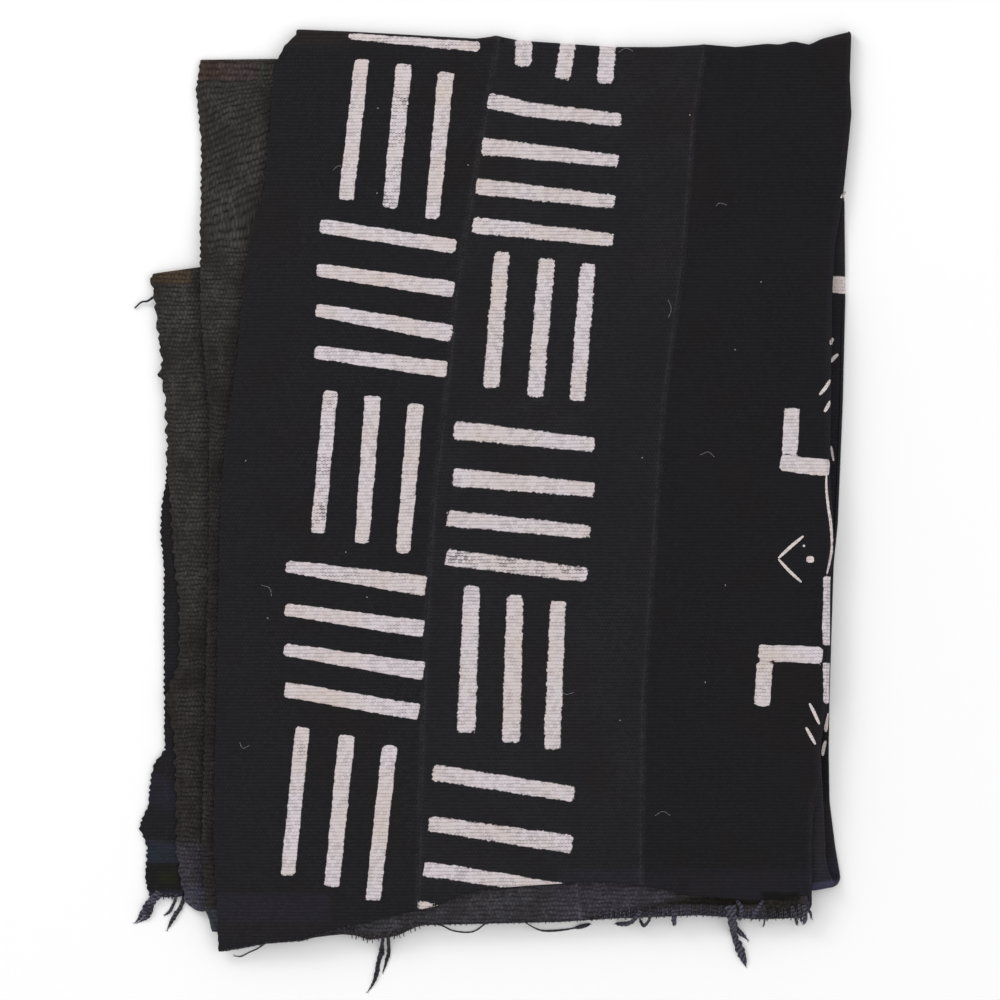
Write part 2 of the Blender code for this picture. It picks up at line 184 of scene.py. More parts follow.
sky = bpy.data.worlds.new("pale_sky")
sky.use_nodes = True
sky.node_tree.nodes["Background"].inputs["Color"].default_value = (1.0, 1.0, 1.0, 1.0)
sky.node_tree.nodes["Background"].inputs["Strength"].default_value = 0.9
bpy.context.scene.world = sky
bpy.context.scene.view_settings.view_transform = "Standard"

LIGHTS = (
    {"name": "key", "from": (-1.5, 1.6, 1.5), "size": 1.0, "watts": 21.0},
    {"name": "fill", "from": (1.8, -0.6, 2.2), "size": 1.6, "watts": 6.0},
)
for row in LIGHTS:
    light_data = bpy.data.lights.new(row["name"], "AREA")
    light_data.size = row["size"]
    light_data.energy = row["watts"]
    light = bpy.data.objects.new(row["name"], light_data)
    light.location = row["from"]
    direction = np.array(row["from"])
    light.rotation_euler = (
        math.acos(direction[2] / np.linalg.norm(direction)), 0.0, math.atan2(direction[1],
                                                                             direction[0]) + math.pi / 2)
    bpy.context.scene.collection.objects.link(light)
print("lights:", [row["name"] for row in LIGHTS])

# %% [markdown]
# ## Where the cloth lies
# The layout repeats the rows that the solids were made from. A run is one length of the cloth between two
# folds. Each run has a front half, which holds strips 1 and 2 and half of strip 3, and a back half with the
# rest, and the side fold runs down the middle of strip 3. All of it is in millimetres, in the picture's
# frame.

# %% The rows of the layout
CLOTH = 1.3
PITCH = 2.0
SEAM_GAP = 0.06  # the solids keep 0.3 mm, and the sewn cloth hardly any
STRIP_3 = 130.0
SEAM_SHARES = (0.3587, 0.7355)
PILE = (
    ("under", "front"), ("under", "back"), ("core", "front"), ("core", "back"),
    ("middle", "back"), ("middle", "front"), ("upper", "back"), ("upper", "front"),
)
LINES = {
    "upper_end": {
        "front": ((-167, -271), (-155, -269), (-140, -266), (-119, -264.5), (-89, -255.5), (-48, -245.5),
                  (-37, -243),
                  (-25, -237), (-8, -233), (17, -231), (59, -228.5), (85, -231), (116, -237), (150, -240),
                  (170, -239),
                  (187, -236)),
        "back": ((-177, -247), (-173, -259), (-119, -263.5), (-96, -260.5), (-87, -261), (-79, -264),
                 (-62, -261.5),
                 (-48, -255), (36, -253), (67, -251), (120, -249), (156, -251.5), (180, -250.5), (187, -248)),
    },
    "top_fold": {
        "front": ((-120, 282.5), (-90, 281.3), (-63, 279.8), (-14, 277), (-2, 278.7), (11, 276), (68, 272),
                  (98, 272), (124, 273.5),
                  (142, 272), (160, 274), (168, 273.5), (176, 275.5), (186, 273.5), (193, 277), (211, 281.5)),
        "back": ((-180, 264.5), (-132, 265), (68, 264), (150, 266), (186, 270), (211, 279.5)),
    },
    "bottom_fold": {
        "front": ((-134, -246), (0, -240.5), (150, -237), (188, -234.5), (204, -231.5)),
        "back": ((-190, -240), (-186, -244), (-181, -247.5), (-177, -247), (-134, -243), (0, -238),
                 (150, -235), (204, -229.5)),
    },
    "inner_fold": {
        "front": ((-139, 139), (-60, 132), (60, 112), (194, 98)),
        "back": ((-209, 136), (-180, 140), (-60, 129), (60, 109), (194, 96)),
    },
    "core_end": {
        "front": ((-140, -226), (188, -222)),
        "back": ((-209, -238.5), (-192, -238.5), (-187, -234), (0, -228), (188, -222)),
    },
}
RUNS = (
    {"name": "upper", "from": "upper_end", "to": "top_fold", "way": 1, "length": 545},
    {"name": "under", "from": "top_fold", "to": "bottom_fold", "way": -1, "length": 515},
    {"name": "middle", "from": "bottom_fold", "to": "inner_fold", "way": 1, "length": 375},
    {"name": "core", "from": "inner_fold", "to": "core_end", "way": -1, "length": 370},
)
RUN = {run["name"]: run for run in RUNS}
SELVEDGE = {
    ("upper", "front"): ((-271, -169), (-233, -170.3), (-209, -172), (-141, -170.5), (-60, -169),
                         (11, -167), (40, -164),
                         (83, -158), (130, -153.5), (161, -149.5), (186, -141.5), (239, -137), (260, -136),
                         (273, -129),
                         (282, -120)),
    ("upper", "back"): ((-259, -173), (-245, -177), (-209, -179), (-120, -177), (-30, -174.5), (49, -174.5),
                        (81, -177),
                        (119, -180), (155, -180), (218, -179.5), (245, -182.5), (265, -180)),
    ("under", "front"): ((-246, -134), (0, -133), (200, -134), (260, -130), (282, -120)),
    ("under", "back"): ((-239, -188.5), (-150, -187), (100, -186), (150, -177), (230, -177), (265, -180)),
    ("middle", "front"): ((-246, -134), (-200, -142), (0, -146), (100, -143), (139, -139)),
    ("middle", "back"): ((-239, -188.5), (-230, -191.5), (-209, -194.5), (-179, -194.5), (-137, -196),
                         (-125, -200),
                         (-116, -200), (-97, -192.5), (-62, -193), (-35, -195.5), (17, -200), (45, -200),
                         (58, -200.6), (71, -203),
                         (76, -205.5), (80, -203), (108, -206), (136, -210)),
    ("core", "front"): ((-226, -138), (-100, -140), (139, -139)),
    ("core", "back"): ((-238, -210.5), (-232, -212.5), (-224, -213), (-209, -212), (-202, -214),
                       (-197, -216.5), (-192, -215), (-184, -211.5),
                       (-168, -210), (-158, -208), (-150, -201.5), (-83, -202), (-45, -201.5), (-19, -204),
                       (-5, -203.5),
                       (12, -200.5), (58, -198.5), (92, -204), (136, -209)),
}
SIDE_FOLD = {
    "upper": ((-234, 187), (-198, 187), (-181, 188), (-167, 192), (-147, 191.5), (-133, 193.5), (-120, 197),
              (-86, 197.8), (-60, 197.8), (-44, 198),
              (-27, 200), (-14, 199.5), (14, 197.7), (120, 199), (154, 201), (184, 206), (217, 209.5),
              (232, 211), (253, 210), (281, 211)),
    "under": ((-231.5, 204), (-226, 204.5), (-209, 201.5), (-181, 198), (-152, 197.5), (-120, 198),
              (-39, 200.5),
              (-14, 203), (59, 206), (120, 207.5), (180, 207), (188, 204.5), (240, 207), (281, 211)),
    "middle": ((-231.5, 204), (-226, 198), (-216, 195.5), (-192, 194.5), (-147, 192), (0, 194), (98, 194)),
    "core": ((-222, 187), (-150, 188), (0, 191), (98, 194)),
}
UPPER_SEAMS = (
    ((-243, -49), (-188, -48), (-72, -44), (2, -39.5), (83, -30), (126, -26.5), (223, -10), (278, -1)),
    ((-226, 85), (-124, 86), (-27, 92.5), (56, 98), (144, 110), (227, 116.5), (274, 123.5)),
)
print("the cloth is about", sum(run["length"] for run in RUNS), "mm long before it is folded")

# %% [markdown]
# ## How high each layer lies
# A layer rests on every layer that is under it at that place. Each of those counts fully where it lies, and
# less and less past its edge, as the cloth above comes down beside it. That one rule makes every slope of
# the pile, and it can never put a layer through another. Soft swells and creases then lift or press the
# whole pile together.

# %% The height of any point of any layer
END_DRAPE = 60.0  # how far past a fold or a cut end the layers over it reach the level below
SIDE_DRAPE = 45.0  # the same past a selvedge, where the cloth is limp
CREASES = (
    {"x": -125, "y": 166, "long": 30, "wide": 8, "turn": 33, "rise": -0.09},
    {"x": 185, "y": 110, "long": 120, "wide": 18, "turn": 90, "rise": -0.06},
    {"x": 150, "y": 18, "long": 34, "wide": 13, "turn": 55, "rise": 0.06},
    {"x": 145, "y": -90, "long": 50, "wide": 15, "turn": 65, "rise": 0.06},
    {"x": 152, "y": -210, "long": 62, "wide": 10, "turn": 8, "rise": -0.07},
    {"x": -60, "y": -10, "long": 130, "wide": 80, "turn": 80, "rise": 0.04},
    {"x": 70, "y": -150, "long": 90, "wide": 60, "turn": 10, "rise": 0.04},
    {"x": 20, "y": 60, "long": 120, "wide": 22, "turn": -14, "rise": -0.035},
    {"x": -110, "y": -215, "long": 60, "wide": 16, "turn": 35, "rise": 0.05},
    {"x": 60, "y": 225, "long": 70, "wide": 18, "turn": 12, "rise": -0.04},
)


def along(rows, at):
    """The second column of rows where the first is at, straight between rows and level past the last."""
    firsts, seconds = zip(*rows)
    return np.interp(at, firsts, seconds)


def ease(past, reach):
    """1 up to an edge, and smoothly down to 0 at reach past it."""
    share = np.clip(past / reach, 0.0, 1.0)
    return 1.0 - share * share * (3.0 - 2.0 * share)


def line_of(run_name, half, end):
    return LINES[RUN[run_name][end]][half]


def cover(layer, x, y):
    run_name, half = layer
    start = along(line_of(run_name, half, "from"), x)
    stop = along(line_of(run_name, half, "to"), x)
    ends = ease(np.minimum(start, stop) - y, END_DRAPE) * ease(y - np.maximum(start, stop), END_DRAPE)
    sides = ease(along(SELVEDGE[layer], y) - x, SIDE_DRAPE) * ease(x - along(SIDE_FOLD[run_name], y),
                                                                   SIDE_DRAPE)
    return ends * sides


def height(layer, x, y):
    """The middle of a layer's thickness, above the floor."""
    return CLOTH / 2 + PITCH * sum(cover(lower, x, y) for lower in PILE[: PILE.index(layer)])


def swell(x, y):
    """By what factor the pile is higher or lower at a place."""
    factor = np.ones_like(x)
    for row in CREASES:
        turn = math.radians(row["turn"])
        u = ((x - row["x"]) * math.cos(turn) + (y - row["y"]) * math.sin(turn)) / row["long"]
        v = ((y - row["y"]) * math.cos(turn) - (x - row["x"]) * math.sin(turn)) / row["wide"]
        factor += row["rise"] * np.exp(-u * u - v * v)
    return factor


print("top layer in the middle:", round(float(height(("upper", "front"), 0.0, 0.0)), 2), "mm above the floor")

# %% [markdown]
# ## The strips as fine sheets
# Each strip is a long grid of points. Its rows follow the cloth from the outer cut end to the inner one,
# through every fold, and its columns run from one selvedge to the other, closer together near the edges. A
# closed sheet has such a grid on each side and a rim between them, and thins towards its selvedges as real
# weaving does.

# %% Placing the points of one run
LONG_FOLD_STEPS = 9
SIDE_FOLD_STEPS = 10


def run_limit(run_name, half, end, x):
    """Where the flat of a run ends: at its cut end, or where its fold starts to turn."""
    y = along(line_of(run_name, half, end), x)
    joined = [run["name"] for run in RUNS if run["name"] != run_name and RUN[run_name][end] in (run["from"],
                                                                                                run["to"])]
    if not joined:
        return y
    drop = np.abs(height((run_name, half), x, y) - height((joined[0], half), x, y))
    reach = (drop + CLOTH) / 2
    return y - reach if RUN[run_name][end] in ("top_fold", "inner_fold") else y + reach


def stations(run_name, half, y):
    """X of the selvedge, the seams and the side fold of one half of a run, from the selvedge inwards."""
    edge = along(SELVEDGE[(run_name, half)], y)
    fold = along(SIDE_FOLD[run_name], y)
    if run_name == "upper":
        seams = [along(rows, y) for rows in UPPER_SEAMS]
    else:
        front = along(SELVEDGE[(run_name, "front")], y)
        seams = [front + share * (fold - front) for share in SEAM_SHARES]
    if half == "front":
        return [edge, *seams, fold]
    third = fold - (STRIP_3 - (fold - seams[1]))
    return [edge, edge + (third - edge) / 3, edge + (third - edge) * 2 / 3, third, fold]


def place(run_name, half, index, shares, across):
    """X and Y of a grid between two stations: shares down the run, and shares across the stretch."""
    s, f = shares[:, None], across[None, :]
    x = np.zeros((len(shares), len(across)))
    for _ in range(6):
        first = run_limit(run_name, half, "from", x)
        y = first + (run_limit(run_name, half, "to", x) - first) * s
        lines = stations(run_name, half, y)
        near = lines[index] + (SEAM_GAP / 2 if index else 0.0)
        far = lines[index + 1] - SEAM_GAP / 2
        x = near + (far - near) * f
    return x, y


def columns(width, step):
    """Shares across a strip, a step apart, with closer columns at the edges that are asked for."""
    inner = np.arange(6.0, width - 6.0 + step / 2, step)
    near = (0.0, 0.45, 1.1, 2.2, 3.8)
    far = (3.8, 2.2, 1.1, 0.45, 0.0)
    inner = np.linspace(6.0, width - 6.0, len(inner))
    return np.concatenate([near, inner, [width - v for v in far]]) / width


print("columns of a strip:", len(columns(125.0, 2.5)))

# %% [markdown]
# ## Selvedges
# Where the weft turns back at the edge of a strip it pulls the edge in and lets it out again, so a
# hand-woven selvedge is scalloped. Here a wave of uneven pitch moves the outermost columns by about a
# millimetre. Along a seam the two selvedges are pulled together and stand up a little, which shows as a low
# rubbed ridge.

# %% Small movements of the weave near its edges
SCALLOPS = {  # pitch and depth in mm of the free selvedges, which differ from place to place
    1: {"upper": (5.2, 0.3), "under": (5.2, 0.4), "middle": (5.2, 0.4), "core": (5.2, 0.4)},
    6: {"upper": (5.0, 0.6), "under": (5.6, 0.7), "middle": (8.0, 1.15), "core": (3.9, 0.8)},
}
RIDGE = 0.3  # how far the sewn selvedges stand up
RIDGE_WIDTH = 1.6


def wander(t, seed):
    """A smooth uneven curve between about -1 and 1, the same on every run."""
    waves = ((0.131, 1.7), (0.057, 0.6), (0.31, 4.1), (0.71, 2.3))
    return sum(np.sin(t * rate + seed * turn + turn) for rate, turn in waves) / 2.4


def travelled(points):
    """How far along a path each of its points is, from 0 at the first."""
    return np.concatenate([[0], np.cumsum(np.linalg.norm(np.diff(points, axis=0), axis=1))])


def scallop(length, seed, pitch, depth):
    """How far a selvedge stands out, in mm, at a length along the strip."""
    phase = 2 * math.pi * length / pitch + 1.6 * wander(length, seed)
    uneven = 0.7 + 0.3 * wander(length * 2.3, seed + 5)
    return depth * (np.sin(phase) * uneven + 0.35 * wander(length * 0.7, seed))


def edge_profile(offsets, width, near_free):
    """For each column: its share of a free selvedge's wave, its share of a seam's ridge, and its thickness."""
    near, far = offsets * width, (1 - offsets) * width
    follow_near = np.exp(-near / 2.2) if near_free else np.zeros_like(near)
    ridge = (0 if near_free else 1) * np.exp(-((near / RIDGE_WIDTH) ** 2))
    ridge = ridge + np.exp(-((far / RIDGE_WIDTH) ** 2))
    thick = 1 - 0.5 * ((1 if near_free else 0.25) * np.exp(-near / 0.5) + 0.25 * np.exp(-far / 0.5))
    return follow_near, ridge, thick


farthest = np.max(scallop(np.arange(0, 500.0), 1, *SCALLOPS[6]["middle"]))
print("scallops stand out by up to", round(float(farthest), 2), "mm")

# %% One strip, through all its folds
STRIPS = (
    {"strip": 1, "parts": (("front", 0, False),), "free": True, "step": 2.5, "width": 123.0},
    {"strip": 2, "parts": (("front", 1, False),), "free": False, "step": 2.5, "width": 131.0},
    {"strip": 3, "parts": (("front", 2, False), ("back", 3, True)), "free": False, "step": 3.0,
     "width": 130.0},
    {"strip": 4, "parts": (("back", 2, True),), "free": False, "step": 6.0, "width": 112.0},
    {"strip": 5, "parts": (("back", 1, True),), "free": False, "step": 6.0, "width": 112.0},
    {"strip": 6, "parts": (("back", 0, True),), "free": True, "step": 3.0, "width": 112.0},
)
SHOWN_OF_6 = 42  # mm of strip 6 that can show past the layers above it
ROW_STEP = {"upper": 2.0, "under": 3.2, "middle": 3.2, "core": 3.2}
EDGE_ROW_STEP = {  # for the strips with a scalloped selvedge, closer where it shows
    1: {"upper": 1.6, "under": 3.2, "middle": 3.2, "core": 3.2},
    6: {"upper": 1.2, "under": 3.2, "middle": 1.2, "core": 1.2},
}


def strip_run(row, run):
    """Grids for the middle of the weave in one run, with the side that faces up and the columns' traits."""
    name = run["name"]
    up = 1.0 if PILE.index((name, "front")) > PILE.index((name, "back")) else -1.0
    step = EDGE_ROW_STEP[row["strip"]][name] if row["free"] else ROW_STEP[name]
    shares = np.linspace(0, 1, int(run["length"] / step) + 1)
    blocks = []
    for half, index, backwards in row["parts"]:
        across = columns(row["width"], row["step"])
        if row["strip"] == 6:
            shown = across[across * row["width"] < SHOWN_OF_6]
            hidden = np.arange(SHOWN_OF_6 + 6, 106, 8.0) / row["width"]
            across = np.concatenate([shown, hidden, across[-5:]])
        if row["strip"] == 3:
            part = 97.0 if half == "front" else 33.0
            across = columns(part, row["step"])
        x, y = place(name, half, index, shares, across)
        follow, ridge, thick = edge_profile(across, row["width"], row["free"])
        if row["strip"] == 3:
            ridge, thick = ridge * (across < 0.5), np.where(across < 0.5, thick, 1.0)
        length = y + 1000 * RUNS.index(run)
        if row["free"]:
            seed = row["strip"] + 3 * RUNS.index(run)
            x = x - follow[None, :] * scallop(length, seed, *SCALLOPS[row["strip"]][name])
        side = up if half == "front" else -up
        z = height((name, half), x, y) + 0 * x
        block = {"x": x, "y": y, "z": z, "side": side + 0 * x}
        block["ridge"] = ridge[None, :] + 0 * x
        block["thick"] = thick[None, :] + 0 * x
        blocks.append({k: v[:, ::-1] if backwards else v for k, v in block.items()})
    if row["strip"] != 3:
        return blocks[0]
    front, back = blocks
    high, low = front["z"][:, -1], back["z"][:, 0]
    half_turn = np.abs(high - low) / 2
    fold_x = np.maximum(front["x"][:, -1], back["x"][:, 0])
    centre = fold_x - half_turn - CLOTH / 2
    for block, edge in ((front, -1), (back, 0)):
        excess = np.clip(block["x"] - centre[:, None], 0, None)
        block["x"] = block["x"] - excess
        block["x"][:, edge] = centre
    turns = np.linspace(0, math.pi, SIDE_FOLD_STEPS + 1)[1:-1][None, :]
    mix = turns / math.pi
    fold = {
        "x": centre[:, None] + half_turn[:, None] * np.sin(turns),
        "y": front["y"][:, -1:] * (1 - mix) + back["y"][:, :1] * mix,
        "z": (high + low)[:, None] / 2 + up * half_turn[:, None] * np.cos(turns),
        "side": up * np.cos(turns) + 0 * centre[:, None],
        "out": np.sin(turns) + 0 * centre[:, None],
        "ridge": 0 * turns + 0 * centre[:, None],
        "thick": 1 + 0 * turns + 0 * centre[:, None],
        "behind": (turns > math.pi / 2) + 0 * centre[:, None],
    }
    front["out"], back["out"] = 0 * front["x"], 0 * back["x"]
    front["behind"], back["behind"] = 0 * front["x"], 1 + 0 * back["x"]
    return {key: np.concatenate([front[key], fold[key], back[key]], axis=1) for key in fold}


def sheet_faces(block):
    """Points on the painted face and on the reverse, which lie half a thickness to each side."""
    out = block.get("out", 0 * block["x"])
    grids = []
    for sign in (1.0, -1.0):
        reach = sign * block["thick"] * CLOTH / 2
        z = block["z"] + reach * block["side"] + RIDGE * block["ridge"] * np.sign(block["side"]) * (sign > 0)
        grids.append(np.stack([block["x"] + reach * out, block["y"], z], axis=-1))
    return grids


def long_fold(last, first, way):
    """The rows that carry one run's last row round into the next run's first."""
    middle, half = (last + first) / 2, (last - first) / 2
    rows = []
    for step in range(1, LONG_FOLD_STEPS):
        turn = math.pi * step / LONG_FOLD_STEPS
        points = middle + half * math.cos(turn)
        points[:, 1] += way * np.abs(half[:, 2]) * math.sin(turn)
        rows.append(points)
    return np.array(rows)


def strip_grids(row):
    """The strip's two grids, the run each row is in, and each column's place across, in mm, and its half."""
    faces, reverses, runs = [], [], []
    for number, run in enumerate(RUNS):
        block = strip_run(row, run)
        face, reverse = sheet_faces(block)
        if faces:
            faces.append(long_fold(faces[-1][-1], face[0], -run["way"]))
            reverses.append(long_fold(reverses[-1][-1], reverse[0], -run["way"]))
            runs.append(np.full(LONG_FOLD_STEPS - 1, number - 0.5))
        faces.append(face)
        reverses.append(reverse)
        runs.append(np.full(len(face), float(number)))
    face, reverse = np.concatenate(faces), np.concatenate(reverses)
    sample = face[100]
    offsets = travelled(sample)
    behind = block["behind"][0] > 0.5 if row["strip"] == 3 else np.full(len(offsets), row["strip"] > 3)
    return face, reverse, np.concatenate(runs), offsets, behind, block["ridge"][0]


hidden_strip = strip_grids(STRIPS[3])
print("strip 4:", hidden_strip[0].shape, "points on a side,", round(float(hidden_strip[3][-1]), 1), "mm wide")

# %% [markdown]
# ## The painted bars
# The maker paints round the light bars and leaves them pale, or bleaches them out, and finishes their edges
# with a stick, so they are nearly straight, a little wedge-shaped, and fuzzy where the mud crept along the
# ribs. The pattern is traditional: groups of three bars along the strip and four across it. Each bar below
# was charted with its middle line, its width at each end and how well it is covered. A point of the
# cloth stores how deep inside the nearest bar it lies, and the material turns that into a crisp, ragged
# edge.

# %% The chart of the bars, in pixels of the picture
BARS = (
    (349, 36, 480, 47, 6, 10, 0.8), (362, 59, 346, 200, 14, 15, 0.85), (404, 64, 390, 208, 16, 15, 0.7),
    (446, 72, 432, 219, 16, 14, 1.0), (331, 391, 318, 533, 14, 14, 0.7), (373, 396, 362, 543, 16, 14, 0.95),
    (416, 404, 403, 553, 16, 14, 0.85), (303, 727, 288, 875, 14, 14, 0.8), (347, 735, 332, 886, 16, 15, 0.95),
    (390, 745, 373, 900, 15, 15, 0.9), (320, 226, 456, 247, 14, 14, 0.9), (317, 270, 454, 290, 13, 16, 0.9),
    (316, 310, 452, 334, 13, 17, 0.95), (315, 352, 447, 370, 13, 16, 0.9), (286, 566, 426, 586, 12, 20, 0.8),
    (285, 609, 424, 629, 12, 17, 0.9), (284, 649, 424, 671, 12, 18, 0.95), (285, 689, 419, 712, 15, 16, 0.85),
    (524, 36, 523, 66, 16, 16, 0.9), (569, 40, 562, 79, 15, 15, 0.85), (608, 44, 605, 83, 16, 16, 0.85),
    (488, 100, 530, 110, 16, 14, 0.75), (525, 109, 621, 120, 14, 13, 0.9),
    (482, 146, 618, 161, 17, 12, 0.8), (476, 186, 615, 202, 16, 13, 0.8),
    (473, 225, 613, 240, 16, 13, 0.8), (502, 252, 491, 388, 15, 16, 0.8), (547, 259, 535, 397, 16, 16, 0.9),
    (588, 264, 577, 401, 15, 15, 0.9), (454, 430, 594, 445, 18, 14, 0.85), (453, 477, 594, 490, 18, 14, 0.95),
    (447, 518, 590, 532, 16, 13, 0.9), (446, 557, 587, 575, 16, 14, 0.6), (472, 586, 466, 732, 16, 18, 0.8),
    (515, 595, 511, 742, 16, 18, 0.85), (558, 601, 552, 749, 15, 16, 0.9), (433, 772, 574, 794, 16, 15, 0.85),
    (429, 823, 572, 844, 15, 18, 0.75), (424, 868, 564, 889, 15, 12, 0.8),
    (418, 904.6, 438, 904.6, 9, 1.5, 0.85),
    (792, 408, 789, 454, 15.5, 15.5, 0.9), (780, 463, 829, 468, 15.5, 17, 0.95),
    (758, 652, 773, 653, 15.5, 15.5, 0.95),
    (773, 653, 822, 655, 16.5, 16.5, 0.95), (765, 661, 761, 706, 16, 15.5, 0.9),
    (827, 576, 826.5, 645, 8, 9.5, 0.75),
    (827, 663, 827, 703, 9, 8, 0.65),
)
UNDER_BARS = ((830, 284, 848, 285, 17, 17, 0.9),)
THIN_MARKS = (
    {"width": 3.2, "route": ((803, 536), (791, 546), (778, 558))},
    {"width": 3.0, "route": ((778, 559), (789, 571), (801, 582))},
    {"width": 6.5, "route": ((806, 559), (810, 559.3), (813.5, 559))},
    {"width": 2.2, "route": ((802.5, 545), (804.5, 546.5))},
    {"width": 3.5, "route": ((819, 395), (825, 388), (830, 380))},
    {"width": 3.5, "route": ((824, 412), (827, 407), (830, 401))},
    {"width": 3.2, "route": ((809, 703), (814, 713), (819, 724))},
    {"width": 3.2, "route": ((805.5, 727), (810, 735), (815, 744))},
    {"width": 2.8, "route": ((826, 474), (826, 489), (828, 508), (830.3, 523), (831.6, 545), (829.5, 560),
                             (826.5, 574))},
    {"width": 4.0, "route": ((828, 713), (827, 722), (826, 732))},
    {"width": 3.4, "route": ((826, 741), (824, 748), (823, 756))},
    {"width": 3.6, "route": ((833.5, 338), (831.5, 341), (830.5, 345))},
    {"width": 3.5, "route": ((838.5, 354), (834.5, 357.5), (831, 362))},
    {"width": 2.4, "route": ((831.5, 446), (832.5, 453), (834, 461))},
    {"width": 2.6, "route": ((841, 198), (846, 191))},
)
HIDDEN_PERIOD = 200.0  # mm along the strip after which the groups of bars come again
HIDDEN_GROUP = (
    (30, 8, 30, 94, 9, 9, 0.9), (56, 6, 56, 93, 9, 9, 0.85), (81, 8, 81, 95, 9, 9, 0.95),
    (16, 108, 98, 106, 9, 9, 0.9), (16, 133, 98, 131, 9, 9, 0.85), (16, 158, 98, 156, 9, 9, 0.9),
    (16, 183, 98, 181, 9, 9, 0.9),
)
FAR_OUTSIDE = -9.0

CORNER = 1.4  # mm, the corners of a bar are as round as the stick that drew them


def bar_depths(x, y, bars):
    """How many mm inside the nearest bar each point is, and how well that bar is covered."""
    depth, covered = np.full(x.shape, FAR_OUTSIDE), np.zeros(x.shape)
    for x1, y1, x2, y2, width_1, width_2, cover_share in bars:
        long = math.hypot(x2 - x1, y2 - y1)
        gone = ((x - x1) * (x2 - x1) + (y - y1) * (y2 - y1)) / long
        aside = ((y - y1) * (x2 - x1) - (x - x1) * (y2 - y1)) / long
        width = width_1 + (width_2 - width_1) * np.clip(gone / long, 0, 1)
        hand = x1 * 0.37 + 1.4 * np.sign(aside)
        shaky = 0.14 * np.sin(gone * 0.21 + hand) + 0.1 * np.sin(gone * 0.63 + 2.3 * hand)
        to_end = np.minimum(gone, long - gone) + 0.15 * np.sin(aside * 1.1 + hand)
        to_side = width / 2 - np.abs(aside) + shaky * min(1.0, long / 25)
        corner = min(CORNER, width_1 / 2, width_2 / 2)
        cut_off = corner - np.hypot(np.clip(corner - to_end, 0, None), np.clip(corner - to_side, 0, None))
        inside = np.where((to_end < corner) & (to_side < corner), cut_off, np.minimum(to_end, to_side))
        covered = np.where(inside > depth, cover_share, covered)
        depth = np.maximum(depth, inside)
    return depth, covered


def in_mm(bars):
    rows = []
    for px1, py1, px2, py2, width_1, width_2, cover_share in bars:
        scaled = (width_1 * MM_PER_PIXEL, width_2 * MM_PER_PIXEL, cover_share)
        rows.append((*from_picture(px1, py1), *from_picture(px2, py2), *scaled))
    return rows


def paint_for(strip, face, runs, offsets, behind, length):
    """The stored depth and covering for every point of a strip's painted face."""
    x, y = face[..., 0], face[..., 1]
    on_top = (runs <= 0.5)[:, None] & ~behind[None, :]
    poking = (runs >= 0.5)[:, None] & (x > 180)
    top, low = bar_depths(x, y, in_mm(BARS)), bar_depths(x, y, in_mm(UNDER_BARS))
    group = bar_depths(offsets[None, :] + 0 * length, np.mod(length + 31.0 * strip, HIDDEN_PERIOD),
                       HIDDEN_GROUP)
    if strip == 6:
        group = (np.minimum(group[0], (offsets[-1] - offsets)[None, :] - 40.0), group[1])
    depth, covered = (np.where(on_top, top[i], np.where(poking, low[i], group[i])) for i in (0, 1))
    return np.clip(depth, FAR_OUTSIDE, 9.0), covered


print(len(BARS), "bars on the top layer")
